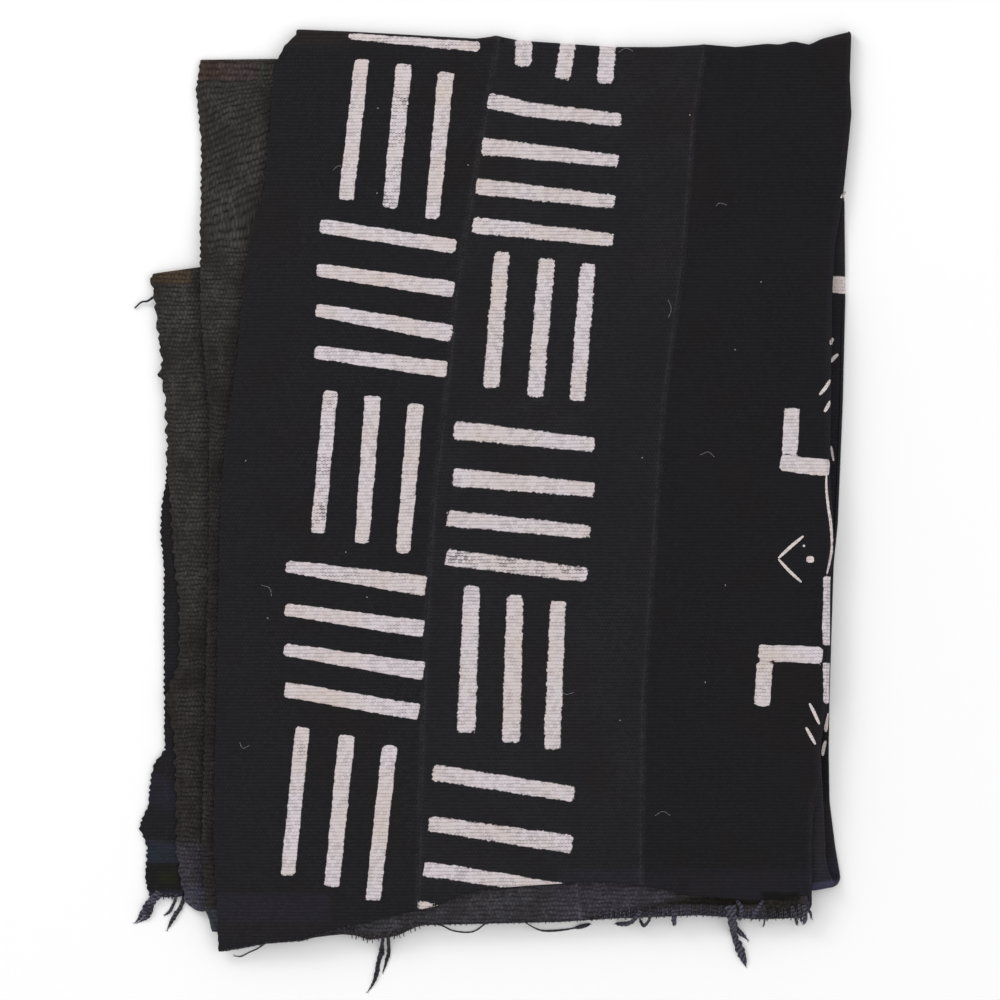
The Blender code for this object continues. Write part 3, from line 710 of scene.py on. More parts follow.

# %% [markdown]
# ## Uneven dye, and painted light and shade
# The mud takes unevenly. Towards the ends of the cloth some bands stay bluish, the fold edges are rubbed
# brown, and the reverse, which was never painted with mud, keeps a greyer brown. Light and shade are painted
# in too: a painted shadow under the lip of the bottom fold, painted shade on a layer beside the edge of the
# layer over it, a painted highlight along the shoulder of the side fold, and painted light on the under
# layer where it lies in the top layer's shadow. Each such place is a soft-edged box, a line or the stretch
# beside a selvedge or the side fold, in the picture's frame, that multiplies the colour of one layer.

# %% Where a layer's colour differs, and where light and shade are painted
TINT_AND_PAINTED_LIGHT_BOXES = {  # left, top, right, bottom and fade in pixels, slant, and gain in red, green and blue
    ("upper", "front"): (
        (216, 893, 330, 921, 8, 0, (1.3, 1.28, 1.6)), (200, 921, 420, 960, 6, 0, (1.15, 1.12, 1.15)),
        (285, 20, 350, 46, 8, 0, (1.5, 1.25, 1.1)), (350, 20, 860, 40, 6, 0, (1.3, 1.2, 1.15)),
        # the last box on this line is painted shadow: the dark band under the lip of the bottom fold
        (560, 870, 820, 905, 8, 0, (1.2, 1.2, 1.35)), (760, 892, 800, 930, 2, 0, (0.5, 0.5, 0.42)),
    ),
    ("upper", "back"): (
        (190, 50, 224, 79, 4, 0, (1.5, 1.15, 0.95)), (224, 50, 257, 80, 3, 0, (1.35, 1.05, 1.1)),
        (257, 50, 290, 80, 3, 0, (1.05, 1.15, 0.95)), (190, 908, 260, 940, 6, 0, (1.5, 2.0, 2.5)),
        (180, 330, 260, 908, 40, 0, (0.78, 0.76, 0.78)), (300, 880, 560, 960, 30, 0, (1.05, 1.1, 1.3)),
        (560, 880, 690, 930, 20, 0, (1.15, 1.15, 1.5)), (690, 880, 800, 930, 10, 0, (1.0, 1.0, 1.1)),
        # the first box on this line is painted shadow: the dark band under the lip of the bottom fold
        (672, 880, 800, 905, 8, 0, (0.6, 0.6, 0.5)), (801, 880, 830, 912, 2, 0, (1.4, 1.15, 1.1)),
    ),
    ("middle", "back"): (
        (140, 262, 192, 283, 3, 0, (1.7, 1.35, 0.9)), (140, 845, 240, 890, 12, 0, (1.25, 1.25, 1.6)),
        (140, 890, 240, 930, 12, 0, (1.8, 2.0, 2.7)), (140, 620, 210, 845, 30, 0, (0.8, 0.76, 0.76)),
    ),
    ("core", "back"): (
        (120, 776, 200, 808, 10, 0.4, (1.25, 1.22, 1.65)), (120, 841, 200, 847, 3, 0.12, (1.5, 1.5, 1.8)),
        (120, 847, 200, 863, 4, 0, (1.3, 1.65, 2.0)), (120, 864, 200, 890, 4, 0, (0.8, 0.84, 0.78)),
        (160, 872, 176, 884, 6, 0, (1.25, 1.4, 0.7)), (120, 892, 200, 905, 5, 0, (1.7, 1.6, 2.3)),
    ),
    ("under", "front"): (
        # both boxes on this line are painted light: they brighten the under layer where it lies in the top
        # layer's shadow
        (826, 180, 860, 640, 6, 0, (1.5, 1.5, 1.55)), (818, 800, 860, 878, 30, 0, (1.8, 1.75, 1.85)),
        (825, 862, 860, 880, 6, 0, (1.15, 1.15, 1.5)), (800, 880, 860, 890, 3, 0, (1.8, 1.8, 2.6)),
    ),
    ("middle", "front"): (
        (800, 760, 835, 900, 6, 0, (1.3, 1.3, 1.45)),
    ),
}
# All of these are painted light: a painted shadow line, painted shade beside the edge of a layer above, and a
# painted highlight
PAINTED_LIGHT_EDGES = (  # past gives how far a point is from the row's line, selvedge or side fold
    # painted shadow: the dark line where the lip of the bottom fold shades the frayed end
    {"layer": ("upper", "back"), "line": ((600, 917), (640, 911), (660, 905), (680, 902), (800, 903)),
     "fade": 5,
     "gain": (0.42, 0.42, 0.34)},
    # painted shade on the reverse beside the top layer's selvedge, where the edge over it shades it
    {"layer": ("upper", "back"), "beside": ("upper", "front"), "fade": 14, "gain": (0.68, 0.62, 0.64)},
    # painted shade on the lower layer beside the selvedge of the layer over it
    {"layer": ("middle", "back"), "beside": ("upper", "back"), "fade": 16, "gain": (0.66, 0.64, 0.66)},
    # painted highlight along the shoulder of the top layer's side fold
    {"layer": ("upper", "front"), "beside_fold": "upper", "fade": 3.5, "gain": (1.5, 1.45, 1.6)},
)

SLANT_FROM = 160  # px, where a slanting box has the level its row gives
FOLD_HIGHLIGHT_INSET = 1.2  # mm inside the side fold's edge, where the painted highlight on the fold's shoulder is brightest


def tint_and_light_for(strip, points, runs):
    """A linear colour for every point of a grid that its material multiplies by: dye tints, and painted light
    and shade.
    """
    half = "front" if strip <= 3 else "back"
    px = points[..., 0] / MM_PER_PIXEL + 500
    py = 500 - points[..., 1] / MM_PER_PIXEL
    tint = np.ones(points.shape[:2] + (3,))
    on_run = {run["name"]: (np.abs(runs - number) <= 0.5)[:, None] for number, run in enumerate(RUNS)}
    for (run_name, wanted), boxes in TINT_AND_PAINTED_LIGHT_BOXES.items():
        for x0, y0, x1, y1, fade, slant, gain in boxes if wanted == half else ():
            level = py - slant * (px - SLANT_FROM)
            past = np.maximum(np.maximum(x0 - px, px - x1), np.maximum(y0 - level, level - y1)) + fade / 2
            tint *= 1 + (on_run[run_name] * ease(past, fade))[..., None] * (np.array(gain) - 1)
    for row in PAINTED_LIGHT_EDGES:
        run_name, wanted = row["layer"]
        if wanted != half:
            continue
        if "line" in row:
            past = np.maximum(np.abs(py - along(row["line"], px)) - 1.0, row["line"][0][0] - px)
        elif "beside_fold" in row:
            past = np.abs(points[..., 0] + FOLD_HIGHLIGHT_INSET - along(SIDE_FOLD[row["beside_fold"]], points[..., 1]))
            past = past / MM_PER_PIXEL
        else:
            past = np.abs(points[..., 0] - along(SELVEDGE[row["beside"]], points[..., 1])) / MM_PER_PIXEL
        tint *= 1 + (on_run[run_name] * ease(past, row["fade"]))[..., None] * (np.array(row["gain"]) - 1)
    return tint


SEAM_RUB = 1.9  # how much paler the ridge of a seam is, where the dye has rubbed off it
print(sum(len(boxes) for boxes in TINT_AND_PAINTED_LIGHT_BOXES.values()) + len(PAINTED_LIGHT_EDGES), "soft-edged places of colour")


def relief_for(strip, points, runs):
    """How strongly the ribs show. It differs from strip to strip, and they fade near the outer cut end."""
    by_strip = {1: 0.9, 2: 1.25, 3: 0.6, 4: 0.9, 5: 0.9, 6: 1.0}[strip]
    low_end = (runs < 0.3)[:, None] & (points[..., 1] < -222.0) & (strip > 3)
    rough = (np.abs(runs - 2) <= 0.5)[:, None] & (strip == 3)
    return by_strip * np.where(low_end, 0.45, np.where(rough, 2.6, 1.0))


# %% [markdown]
# ## The sheet as a mesh
# The two grids become one closed mesh. Its UV map holds millimetres of cloth, turned to metres: across the
# strip for the warp and along it for the weft, so that the weave keeps its size through every fold. The
# paint, and the tint with its painted light and shade, are stored on the points.

# %% From two grids to a mesh


def to_metres(points):
    """Points in metres in the part's own frame, with the pile's swell, and none below the floor."""
    moved = points.copy()
    moved[..., 2] = np.maximum(points[..., 2] * swell(points[..., 0], points[..., 1]), 0.0)
    return (moved + np.array([SHIFT[0], SHIFT[1], 0.0])) / 1000


def new_piece(name, mesh, *materials):
    piece = bpy.data.objects.new(name, mesh)
    bpy.context.scene.collection.objects.link(piece)
    for material in materials:
        mesh.materials.append(material)
    return piece


def sheet_mesh(name, face, reverse, lengths, offsets, per_point):
    """A closed mesh of two grids that share their outline, with named values for both grids' points."""
    rows, cols = face.shape[:2]
    count = rows * cols
    points = np.concatenate([to_metres(face).reshape(-1, 3), to_metres(reverse).reshape(-1, 3)])
    index = np.arange(count).reshape(rows, cols)
    quads = np.stack([index[:-1, :-1], index[:-1, 1:], index[1:, 1:], index[1:, :-1]], axis=-1).reshape(-1, 4)
    rim = np.concatenate([index[0, :], index[1:, -1], index[-1, -2::-1], index[-2:0:-1, 0]])
    after = np.roll(rim, -1)
    sides = np.stack([rim, rim + count, after + count, after], axis=-1)
    sample = quads[len(quads) // 9]
    corner, beside, below = points[sample[0]], points[sample[1]], points[sample[3]]
    face_is_up = np.sign(corner[2] - points[sample[0] + count][2])
    outward = np.cross(beside - corner, below - corner)[2] * face_is_up
    top = quads if outward > 0 else quads[:, ::-1]
    bottom = (quads[:, ::-1] if outward > 0 else quads) + count
    sides = sides if outward > 0 else sides[:, ::-1]
    faces = np.concatenate([top, bottom, sides])
    mesh = bpy.data.meshes.new(name)
    mesh.from_pydata(points.tolist(), [], faces.tolist())
    slots = np.concatenate([np.zeros(len(top)), np.ones(len(bottom)), np.zeros(len(sides))]).astype(np.int32)
    mesh.polygons.foreach_set("material_index", slots)
    uv = np.stack([np.broadcast_to(offsets[None, :], (rows, cols)), lengths], axis=-1).reshape(-1, 2) / 1000
    uv = np.concatenate([uv, uv])
    loops = np.zeros(len(mesh.loops), np.int32)
    mesh.loops.foreach_get("vertex_index", loops)
    layer = mesh.uv_layers.new(name="cloth")
    layer.data.foreach_set("uv", uv[loops].ravel().astype(np.float32))
    for key, (kind, values) in per_point.items():
        attribute = mesh.attributes.new(key, kind, "POINT")
        field = "color" if kind == "FLOAT_COLOR" else "value"
        attribute.data.foreach_set(field, np.ascontiguousarray(values, np.float32).ravel())
    mesh.shade_smooth()
    return mesh


def weft_lengths(face, runs):
    """Length along the strip, in mm, which keeps each weft thread level in the picture."""
    middle = face[:, face.shape[1] // 2]
    gone = travelled(middle[:, 1:])
    way = np.interp(runs, [0, 0.4, 0.6, 1, 1.4, 1.6, 2, 2.4, 2.6, 3], [1, 1, -1, -1, -1, 1, 1, 1, -1, -1.0])
    for number in (0.5, 1.5, 2.5):
        turning = runs == number
        signs = (1, -1) if number != 1.5 else (-1, 1)
        way[turning] = np.linspace(*signs, turning.sum() + 2)[1:-1]
    return gone[:, None] + way[:, None] * (face[..., 1] - middle[:, None, 1])


PULLED_AT = 205.0  # mm above the middle of the cloth
PULLED_SLANT = 0.26  # how steeply the pulled ribs slant
PULLED_OPEN = 0.35  # the share by which they lie further apart


def loosened(lengths, x, y, runs):
    """Lengths along strip 6 where its weave is pulled: coarse slanting ribs near the top of the outer run."""
    upper = (runs <= 0.25)[:, None]
    share = ease(np.abs(y - PULLED_AT) - 25.0, 30.0) * upper
    slant = PULLED_SLANT * (x + 180.0) * share
    coarse = PULLED_OPEN * (np.clip(y, 150.0, 262.0) - 150.0) * upper
    return lengths - slant - coarse


print("a point stores paint, cover, tint and relief")

# %% [markdown]
# ## Hand-spun cotton, dyed black
# The weft of a narrow-loom cloth is thick hand-spun cotton beaten over a finer warp, so the eye sees ribs
# about 2 mm apart across the strip, each broken into small knobs where the warp crosses. Cotton is dull:
# roughness near 0.9, hardly any specular light, and a faint sheen from its fuzz. The bars' paint sits on
# top of the ribs and misses the grooves, which is what makes it look woven.

# %% A weave as height, from the cloth's own coordinates


def weave_nodes(tree, rib, warp, unevenness, filled=0.8):
    """Nodes for a weft-faced weave with ribs and warp threads of that many mm. Gives its height, 0 to about 1.4,
    the tops of its yarn, how far a point is from the pits between knobs, a value that differs from knob to knob,
    and the place on the cloth. Grooves are closed by fuzz here and there, as far as the last number says."""
    place = add(tree, "ShaderNodeUVMap", {"uv_map": "cloth"}).outputs["UV"]
    slow = add(tree, "ShaderNodeTexNoise", {"Scale": 85.0, "Detail": 2.0, "Roughness": 0.5}, Vector=place)
    middle = {"operation": "SUBTRACT", 1: (0.5, 0.5, 0.5)}
    moved = add(tree, "ShaderNodeVectorMath", middle, i0=slow.outputs["Color"])
    amount = {"operation": "SCALE", "Scale": unevenness / 1000}
    moved = add(tree, "ShaderNodeVectorMath", amount, i0=moved.outputs["Vector"])
    thread = add(tree, "ShaderNodeVectorMath", {"operation": "ADD"}, i0=place, i1=moved.outputs["Vector"])
    parts = add(tree, "ShaderNodeSeparateXYZ", Vector=thread.outputs["Vector"])
    ribs = maths(tree, "MULTIPLY", parts.outputs["Y"], 1000.0 / rib)
    number = maths(tree, "FLOOR", ribs)
    plain = maths(tree, "ABSOLUTE", maths(tree, "SINE", maths(tree, "MULTIPLY", ribs, math.pi)))
    closed = spread(tree, noise(tree, place, 260.0, 2.0, 0.6), 0.38, 0.58, 0.0, filled)
    rounded = maths(tree, "MAXIMUM", maths(tree, "POWER", plain, 0.7), closed)
    level = maths(tree, "MULTIPLY", parts.outputs["X"], 1000.0 / warp)
    across = maths(tree, "MULTIPLY_ADD", number, 0.5, level)
    knobs = maths(tree, "ABSOLUTE", maths(tree, "SINE", maths(tree, "MULTIPLY", across, math.pi)))
    knob = add(tree, "ShaderNodeCombineXYZ", X=maths(tree, "FLOOR", across), Y=number)
    chance = add(tree, "ShaderNodeTexWhiteNoise", {"noise_dimensions": "2D"}, Vector=knob.outputs["Vector"])
    each = chance.outputs["Value"]
    full = maths(tree, "MULTIPLY_ADD", each, 0.5, 0.72)
    shape = maths(tree, "MULTIPLY_ADD", knobs, 0.45, 0.55)
    woven = maths(tree, "MULTIPLY", maths(tree, "MULTIPLY", rounded, shape), full)
    stretch = add(tree, "ShaderNodeMapping", {"Scale": (500.0, 1400.0, 1.0)}, Vector=place)
    slubs = noise(tree, stretch.outputs["Vector"], 1.0, 3.0, 0.6)
    tops = maths(tree, "MAXIMUM", rounded, maths(tree, "MULTIPLY_ADD", knobs, 0.65, 0.3))
    return {
        "height": maths(tree, "MULTIPLY_ADD", slubs, 0.35, woven),
        "tops": maths(tree, "MULTIPLY_ADD", slubs, 0.25, maths(tree, "MULTIPLY", tops, full)),
        "from_pits": maths(tree, "MAXIMUM", plain, knobs),
        "each": each,
        "place": place,
    }


print("a rib is a raised sine, and its knobs another across it")

# %% The dyed and painted face
FACE_RIB, FACE_WARP = 2.1, 2.2
mud_face, tree, shader = new_material("handspun_cotton_mud_dyed")
woven = weave_nodes(tree, FACE_RIB, FACE_WARP, 1.4, 0.6)
mottle = noise(tree, woven["place"], 22.0, 4.0, 0.6)
relief = from_mesh(tree, "relief")
# The dye is darker in the grooves of the weave and paler on the yarn's tops: painted shade and light of the
# relief, on top of its bump.
shade = maths(tree, "MULTIPLY", spread(tree, woven["height"], 0.15, 1.2), relief)
dye = mix(tree, shade, linear("#0e0e10"), linear("#252528"))
dye = mix(tree, spread(tree, mottle, 0.3, 0.7, 0.0, 0.7), dye, linear("#1c1a1b"))
cast = spread(tree, noise(tree, woven["place"], 13.0, 3.0, 0.6), 0.4, 0.6)
dye = mix(tree, 1.0, dye, mix(tree, cast, (1.06, 1.0, 0.97, 1), (0.97, 1.0, 1.06, 1)), "MULTIPLY")
dye = mix(tree, 1.0, dye, from_mesh(tree, "tint", "Color"), "MULTIPLY")
print("face: ribs", FACE_RIB, "mm, warp", FACE_WARP, "mm")

# %% [markdown]
# The clay creeps along the yarn, so a bar's edge is ragged, and more so where the weave is coarse. Small
# dark pits stay open where four knobs meet. Where a bar is worn, the clay is left on the tops of the yarn
# alone.

# %% The clay of the bars
creep = maths(tree, "SUBTRACT", noise(tree, woven["place"], 620.0, 2.0, 0.7), 0.5)
creep = maths(tree, "MULTIPLY", creep, maths(tree, "POWER", relief, 3.0))
ragged = maths(tree, "MULTIPLY_ADD", woven["each"], 0.35, from_mesh(tree, "paint"))
painted = spread(tree, maths(tree, "MULTIPLY_ADD", creep, 1.5, ragged), -0.02, 0.38)
wear = noise(tree, woven["place"], 75.0, 4.0, 0.6)
worn = maths(tree, "ADD", woven["tops"], maths(tree, "MULTIPLY_ADD", wear, 0.9, from_mesh(tree, "cover")))
pits = spread(tree, maths(tree, "MULTIPLY_ADD", woven["each"], 0.35, woven["from_pits"]), 0.3, 0.66)
kept = maths(tree, "MULTIPLY", spread(tree, worn, 1.62, 1.95, 0.1, 1.0), pits)
amount = maths(tree, "MULTIPLY", painted, kept)
# The clay is darker where the yarn lies low: partly thin clay over the dye, partly painted shade in the grooves.
clay = mix(tree, spread(tree, woven["tops"], 0.0, 1.1), linear("#7c7274"), linear("#cbc2c7"))
clay = mix(tree, spread(tree, mottle, 0.42, 0.66, 0.0, 0.6), clay, linear("#c4b5ab"))
deep = maths(tree, "MULTIPLY", relief, spread(tree, amount, 0.0, 1.0, 0.6, 0.33))
cotton(tree, shader, mix(tree, amount, dye, clay), (woven["tops"], deep, 0.0005), 0.95, 0.02)
print("the clay leaves pits about", FACE_WARP, "mm apart")

# %% Paint in thin lines
mud_clay, tree, shader = new_material("clay_paint_in_thin_lines")
woven = weave_nodes(tree, FACE_RIB, FACE_WARP, 1.0)
# The clay is darker where the yarn lies low: partly thin clay over the dye, partly painted shade in the grooves.
clay = mix(tree, spread(tree, woven["tops"], 0.3, 1.0), linear("#857c7a"), linear("#cdc4c2"))
cotton(tree, shader, clay, (woven["tops"], 0.4, 0.0003), 0.95, 0.02)
print("the thin lines have", len(THIN_MARKS), "strokes")

# %% [markdown]
# ## The reverse
# The reverse shows the same yarn before the mud: greyer, browner and coarser. Its knobs are painted paler
# and its grooves darker, a painted highlight and shade of the weave on top of its bump.

# %% The reverse
BACK_RIB, BACK_WARP = 2.7, 2.3
mud_back, tree, shader = new_material("handspun_cotton_reverse")
woven = weave_nodes(tree, BACK_RIB, BACK_WARP, 4.2)
# Darker in the grooves and paler on the knobs: painted shade and highlight of the weave, on top of its bump.
yarn = mix(tree, spread(tree, woven["height"], 0.25, 1.25), linear("#100f0f"), linear("#474443"))
clouds = noise(tree, woven["place"], 45.0, 4.0, 0.65)
yarn = mix(tree, spread(tree, clouds, 0.35, 0.75), yarn, linear("#231f1f"))
yarn = mix(tree, 1.0, yarn, from_mesh(tree, "tint", "Color"), "MULTIPLY")
deep = maths(tree, "MULTIPLY", from_mesh(tree, "relief"), 0.85)
cotton(tree, shader, yarn, (woven["height"], deep, 0.0009), 0.95, 0.03)
print("reverse: ribs", BACK_RIB, "mm, warp", BACK_WARP, "mm")

# %% Weave the six strips
surfaces = {}
for row in STRIPS:
    face, reverse, runs, offsets, behind, ridge = strip_grids(row)
    lengths = weft_lengths(face, runs)
    depth, covered = paint_for(row["strip"], face, runs, offsets, behind, lengths)
    if row["strip"] == 6:
        lengths = loosened(lengths, face[..., 0], face[..., 1], runs)
    uneven = 0.65 + 0.35 * wander(lengths, row["strip"])[..., None]
    rubbed = 1 + (SEAM_RUB - 1) * (ridge[None, :, None] * uneven)
    grids = (face, reverse)
    tints_and_painted_light = np.concatenate([(tint_and_light_for(row["strip"], grid, runs) * rubbed).reshape(-1, 3) for grid in grids])
    relief = np.concatenate([relief_for(row["strip"], grid, runs).ravel() for grid in grids])
    per_point = {
        "paint": ("FLOAT", np.concatenate([depth.ravel(), np.full(depth.size, FAR_OUTSIDE)])),
        "cover": ("FLOAT", np.concatenate([covered.ravel(), covered.ravel()])),
        "tint": ("FLOAT_COLOR", np.column_stack([tints_and_painted_light, np.ones(len(tints_and_painted_light))])),
        "relief": ("FLOAT", relief),
    }
    name = f"woven_strip_{row['strip']}"
    piece = new_piece(name, sheet_mesh(name, face, reverse, lengths, offsets, per_point), mud_face, mud_back)
    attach(piece, "root")
    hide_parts(f"strip_{row['strip']}")
    surfaces[row["strip"]] = {"face": face, "runs": runs, "offsets": offsets}
    low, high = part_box(f"strip_{row['strip']}")
    print(name, len(piece.data.polygons) * 2, "triangles; solid", [round(1000 * v) for v in high - low],
          "mm, sheet", [round(1000 * v) for v in piece.dimensions], "mm")

# %% [markdown]
# ## Thin strokes
# A stroke 2 mm wide is finer than the grid of the sheet can hold, so each one is a ribbon of paint of its
# own, a twentieth of a millimetre over whatever cloth lies uppermost there, that narrows at its ends. A ray
# from above finds that height.

# %% Ribbons of paint
PAINT_LIFT = 0.05
RIBBON_ACROSS = 4
bpy.context.view_layer.update()
graph = bpy.context.evaluated_depsgraph_get()
strip_trees = [BVHTree.FromObject(bpy.data.objects[f"woven_strip_{row['strip']}"], graph) for row in STRIPS]


def smooth_route(route, per_leg=6):
    """A smooth path through given points: a Catmull-Rom curve."""
    table = np.array(route, float)
    padded = np.vstack([2 * table[0] - table[1], table, 2 * table[-1] - table[-2]])
    path = []
    for i in range(len(table) - 1):
        p0, p1, p2, p3 = padded[i : i + 4]
        for t in np.linspace(0, 1, per_leg, endpoint=False):
            path.append(0.5 * (2 * p1 + (p2 - p0) * t + (2 * p0 - 5 * p1 + 4 * p2 - p3) * t**2
                               + (3 * p1 - p0 - 3 * p2 + p3) * t**3))
    return np.array(path + [table[-1]])


def top_height(x, y):
    """Z of the uppermost cloth at a place, in mm, or of the floor."""
    start = Vector(((x + SHIFT[0]) / 1000, (y + SHIFT[1]) / 1000, 1.0))
    hits = [tree.ray_cast(start, Vector((0, 0, -1)))[0] for tree in strip_trees]
    return max([1000 * hit.z for hit in hits if hit is not None], default=0.0)


def add_ribbon(vertices, faces, uvs, route, width):
    path = smooth_route([from_picture(*point) for point in route], 10)
    ahead = np.gradient(path, axis=0)
    side = np.stack([-ahead[:, 1], ahead[:, 0]], axis=1) / np.linalg.norm(ahead, axis=1)[:, None]
    share = np.linspace(-1, 1, len(path))
    half = width * MM_PER_PIXEL / 2 * np.sqrt(np.clip(1.04 - share**2, 0.05, 1)) ** 0.6
    half *= 1 + 0.12 * np.sin(np.arange(len(path)) * 2.3)
    first = len(vertices)
    for across in np.linspace(-1, 1, RIBBON_ACROSS + 1):
        edge = path + side * (half * across)[:, None]
        for x, y in edge:
            z = top_height(x, y) + PAINT_LIFT
            vertices.append(((x + SHIFT[0]) / 1000, (y + SHIFT[1]) / 1000, z / 1000))
            uvs.append((x / 1000, y / 1000))
    count = len(path)
    for lane in range(RIBBON_ACROSS):
        for step in range(count - 1):
            a = first + lane * count + step
            faces.append((a, a + 1, a + count + 1, a + count))


ribbon_points, ribbon_faces, ribbon_uvs = [], [], []
for mark in THIN_MARKS:
    add_ribbon(ribbon_points, ribbon_faces, ribbon_uvs, mark["route"], mark["width"])
ribbons = bpy.data.meshes.new("painted_thin_lines")
ribbons.from_pydata(ribbon_points, [], [face[::-1] for face in ribbon_faces])
ribbon_layer = ribbons.uv_layers.new(name="cloth")
for loop in ribbons.loops:
    ribbon_layer.data[loop.index].uv = ribbon_uvs[loop.vertex_index]
ribbons.shade_smooth()
ribbon_piece = new_piece("painted_thin_lines", ribbons, mud_clay)
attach(ribbon_piece, "root")
print(len(ribbon_faces), "faces of paint")

# %% [markdown]
# ## Yarn ends
# A cut end of the cloth lets its warp go: single threads, twisted pairs and knotted tufts. Each is a tube
# that leaves the weave, drops to the floor and lies level on it, with a fine twist in its material.

# %% Tubes that follow a route
YARN_SIDES = 7


def side_and_up(path):
    """For each point of a path: a level direction across it, and one upwards."""
    ahead = np.gradient(path, axis=0)
    ahead /= np.linalg.norm(ahead, axis=1)[:, None]
    side = np.cross(ahead, (0.0, 0.0, 1.0))
    size = np.linalg.norm(side, axis=1)
    side = np.where(size[:, None] > 0.05, side / np.maximum(size, 1e-6)[:, None], (1.0, 0.0, 0.0))
    return side, np.cross(side, ahead)


def add_tube(bm, path, radii, uv_layer, tint_layer, tint, sides=YARN_SIDES, flat=1.0):
    """Adds a closed tube along the path, in mm, with u round it and v along it in metres."""
    gone = travelled(path)
    path = np.column_stack([path[:, :2], np.maximum(path[:, 2], flat * radii + 0.02)])
    across, upwards = side_and_up(path)
    rings = []
    for point, radius, side, up in zip(path, radii, across, upwards):
        turns = [2 * math.pi * k / sides for k in range(sides)]
        points = [point + radius * (side * math.cos(t) + flat * up * math.sin(t)) for t in turns]
        shifted = (np.array(points) + np.array([SHIFT[0], SHIFT[1], 0.0])) / 1000
        shifted[:, 2] = np.maximum(shifted[:, 2], 0.0)
        ring = [bm.verts.new(corner) for corner in shifted]
        for vertex in ring:
            vertex[tint_layer] = (*tint, 1.0)
        rings.append(ring)
    for index, (near, far) in enumerate(zip(rings, rings[1:])):
        for k in range(sides):
            quad = bm.faces.new([near[k], near[(k + 1) % sides], far[(k + 1) % sides], far[k]])
            quad.smooth = True
            values = ((k, index), (k + 1, index), (k + 1, index + 1), (k, index + 1))
            for loop, (turn, step) in zip(quad.loops, values):
                loop[uv_layer].uv = (turn / sides, gone[step] / 1000)
    bm.faces.new(rings[0][::-1])
    bm.faces.new(rings[-1])


def tube_piece(name, tubes, material, sides=YARN_SIDES):
    """One piece of many tubes, each a path and its radii in mm, and if it has them a tint and a flatness."""
    bm = bmesh.new()
    uv_layer = bm.loops.layers.uv.new("cloth")
    tint_layer = bm.verts.layers.float_color.new("tint")
    for path, radii, *more in tubes:
        tint, flat = (*more, (1.0, 1.0, 1.0))[0], more[1] if len(more) > 1 else 1.0
        add_tube(bm, path, radii, uv_layer, tint_layer, tint, sides, flat)
    bmesh.ops.recalc_face_normals(bm, faces=bm.faces)
    mesh = bpy.data.meshes.new(name)
    bm.to_mesh(mesh)
    bm.free()
    piece = new_piece(name, mesh, material)
    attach(piece, "root")
    return piece


print("a yarn has", YARN_SIDES, "sides")

# %% [markdown]
# Yarn is the same cotton, twisted. The twist is a fine slanting stripe round the tube, darker in its grooves
# as painted shade, and the dye has not taken well at the tips, so they are greyer than the cloth.

# %% Twisted yarn
YARN_TWIST = 2.4  # mm along the yarn for one turn of its twist


def yarn_material(name, dark, light):
    material, tree, shader = new_material(name)
    place = add(tree, "ShaderNodeUVMap", {"uv_map": "cloth"}).outputs["UV"]
    parts = add(tree, "ShaderNodeSeparateXYZ", Vector=place)
    turns = maths(tree, "MULTIPLY_ADD", parts.outputs["Y"], 1000.0 / YARN_TWIST, parts.outputs["X"])
    ply = maths(tree, "SINE", maths(tree, "MULTIPLY", turns, 2 * math.pi))
    total = maths(tree, "MULTIPLY_ADD", ply, 0.5, noise(tree, None, 900.0, 3.0, 0.5))
    # The twist's stripe is darker in its grooves: painted shade, on top of its bump.
    colour = mix(tree, spread(tree, total, 0.0, 1.0), linear(dark), linear(light))
    colour = mix(tree, 1.0, colour, from_mesh(tree, "tint", "Color"), "MULTIPLY")
    cotton(tree, shader, colour, (total, 0.7, 0.0003), 0.92, 0.1)
    return material


black_yarn = yarn_material("twisted_cotton_yarn_black", "#17161a", "#3f3e43")
print("yarn twist", YARN_TWIST, "mm")

# %% [markdown]
# The route of each yarn was charted in the picture, with its width at every point, because they are
# lumpy: tight and thin in one place, burst open in the next. A thick one is three plies wound round each
# other.

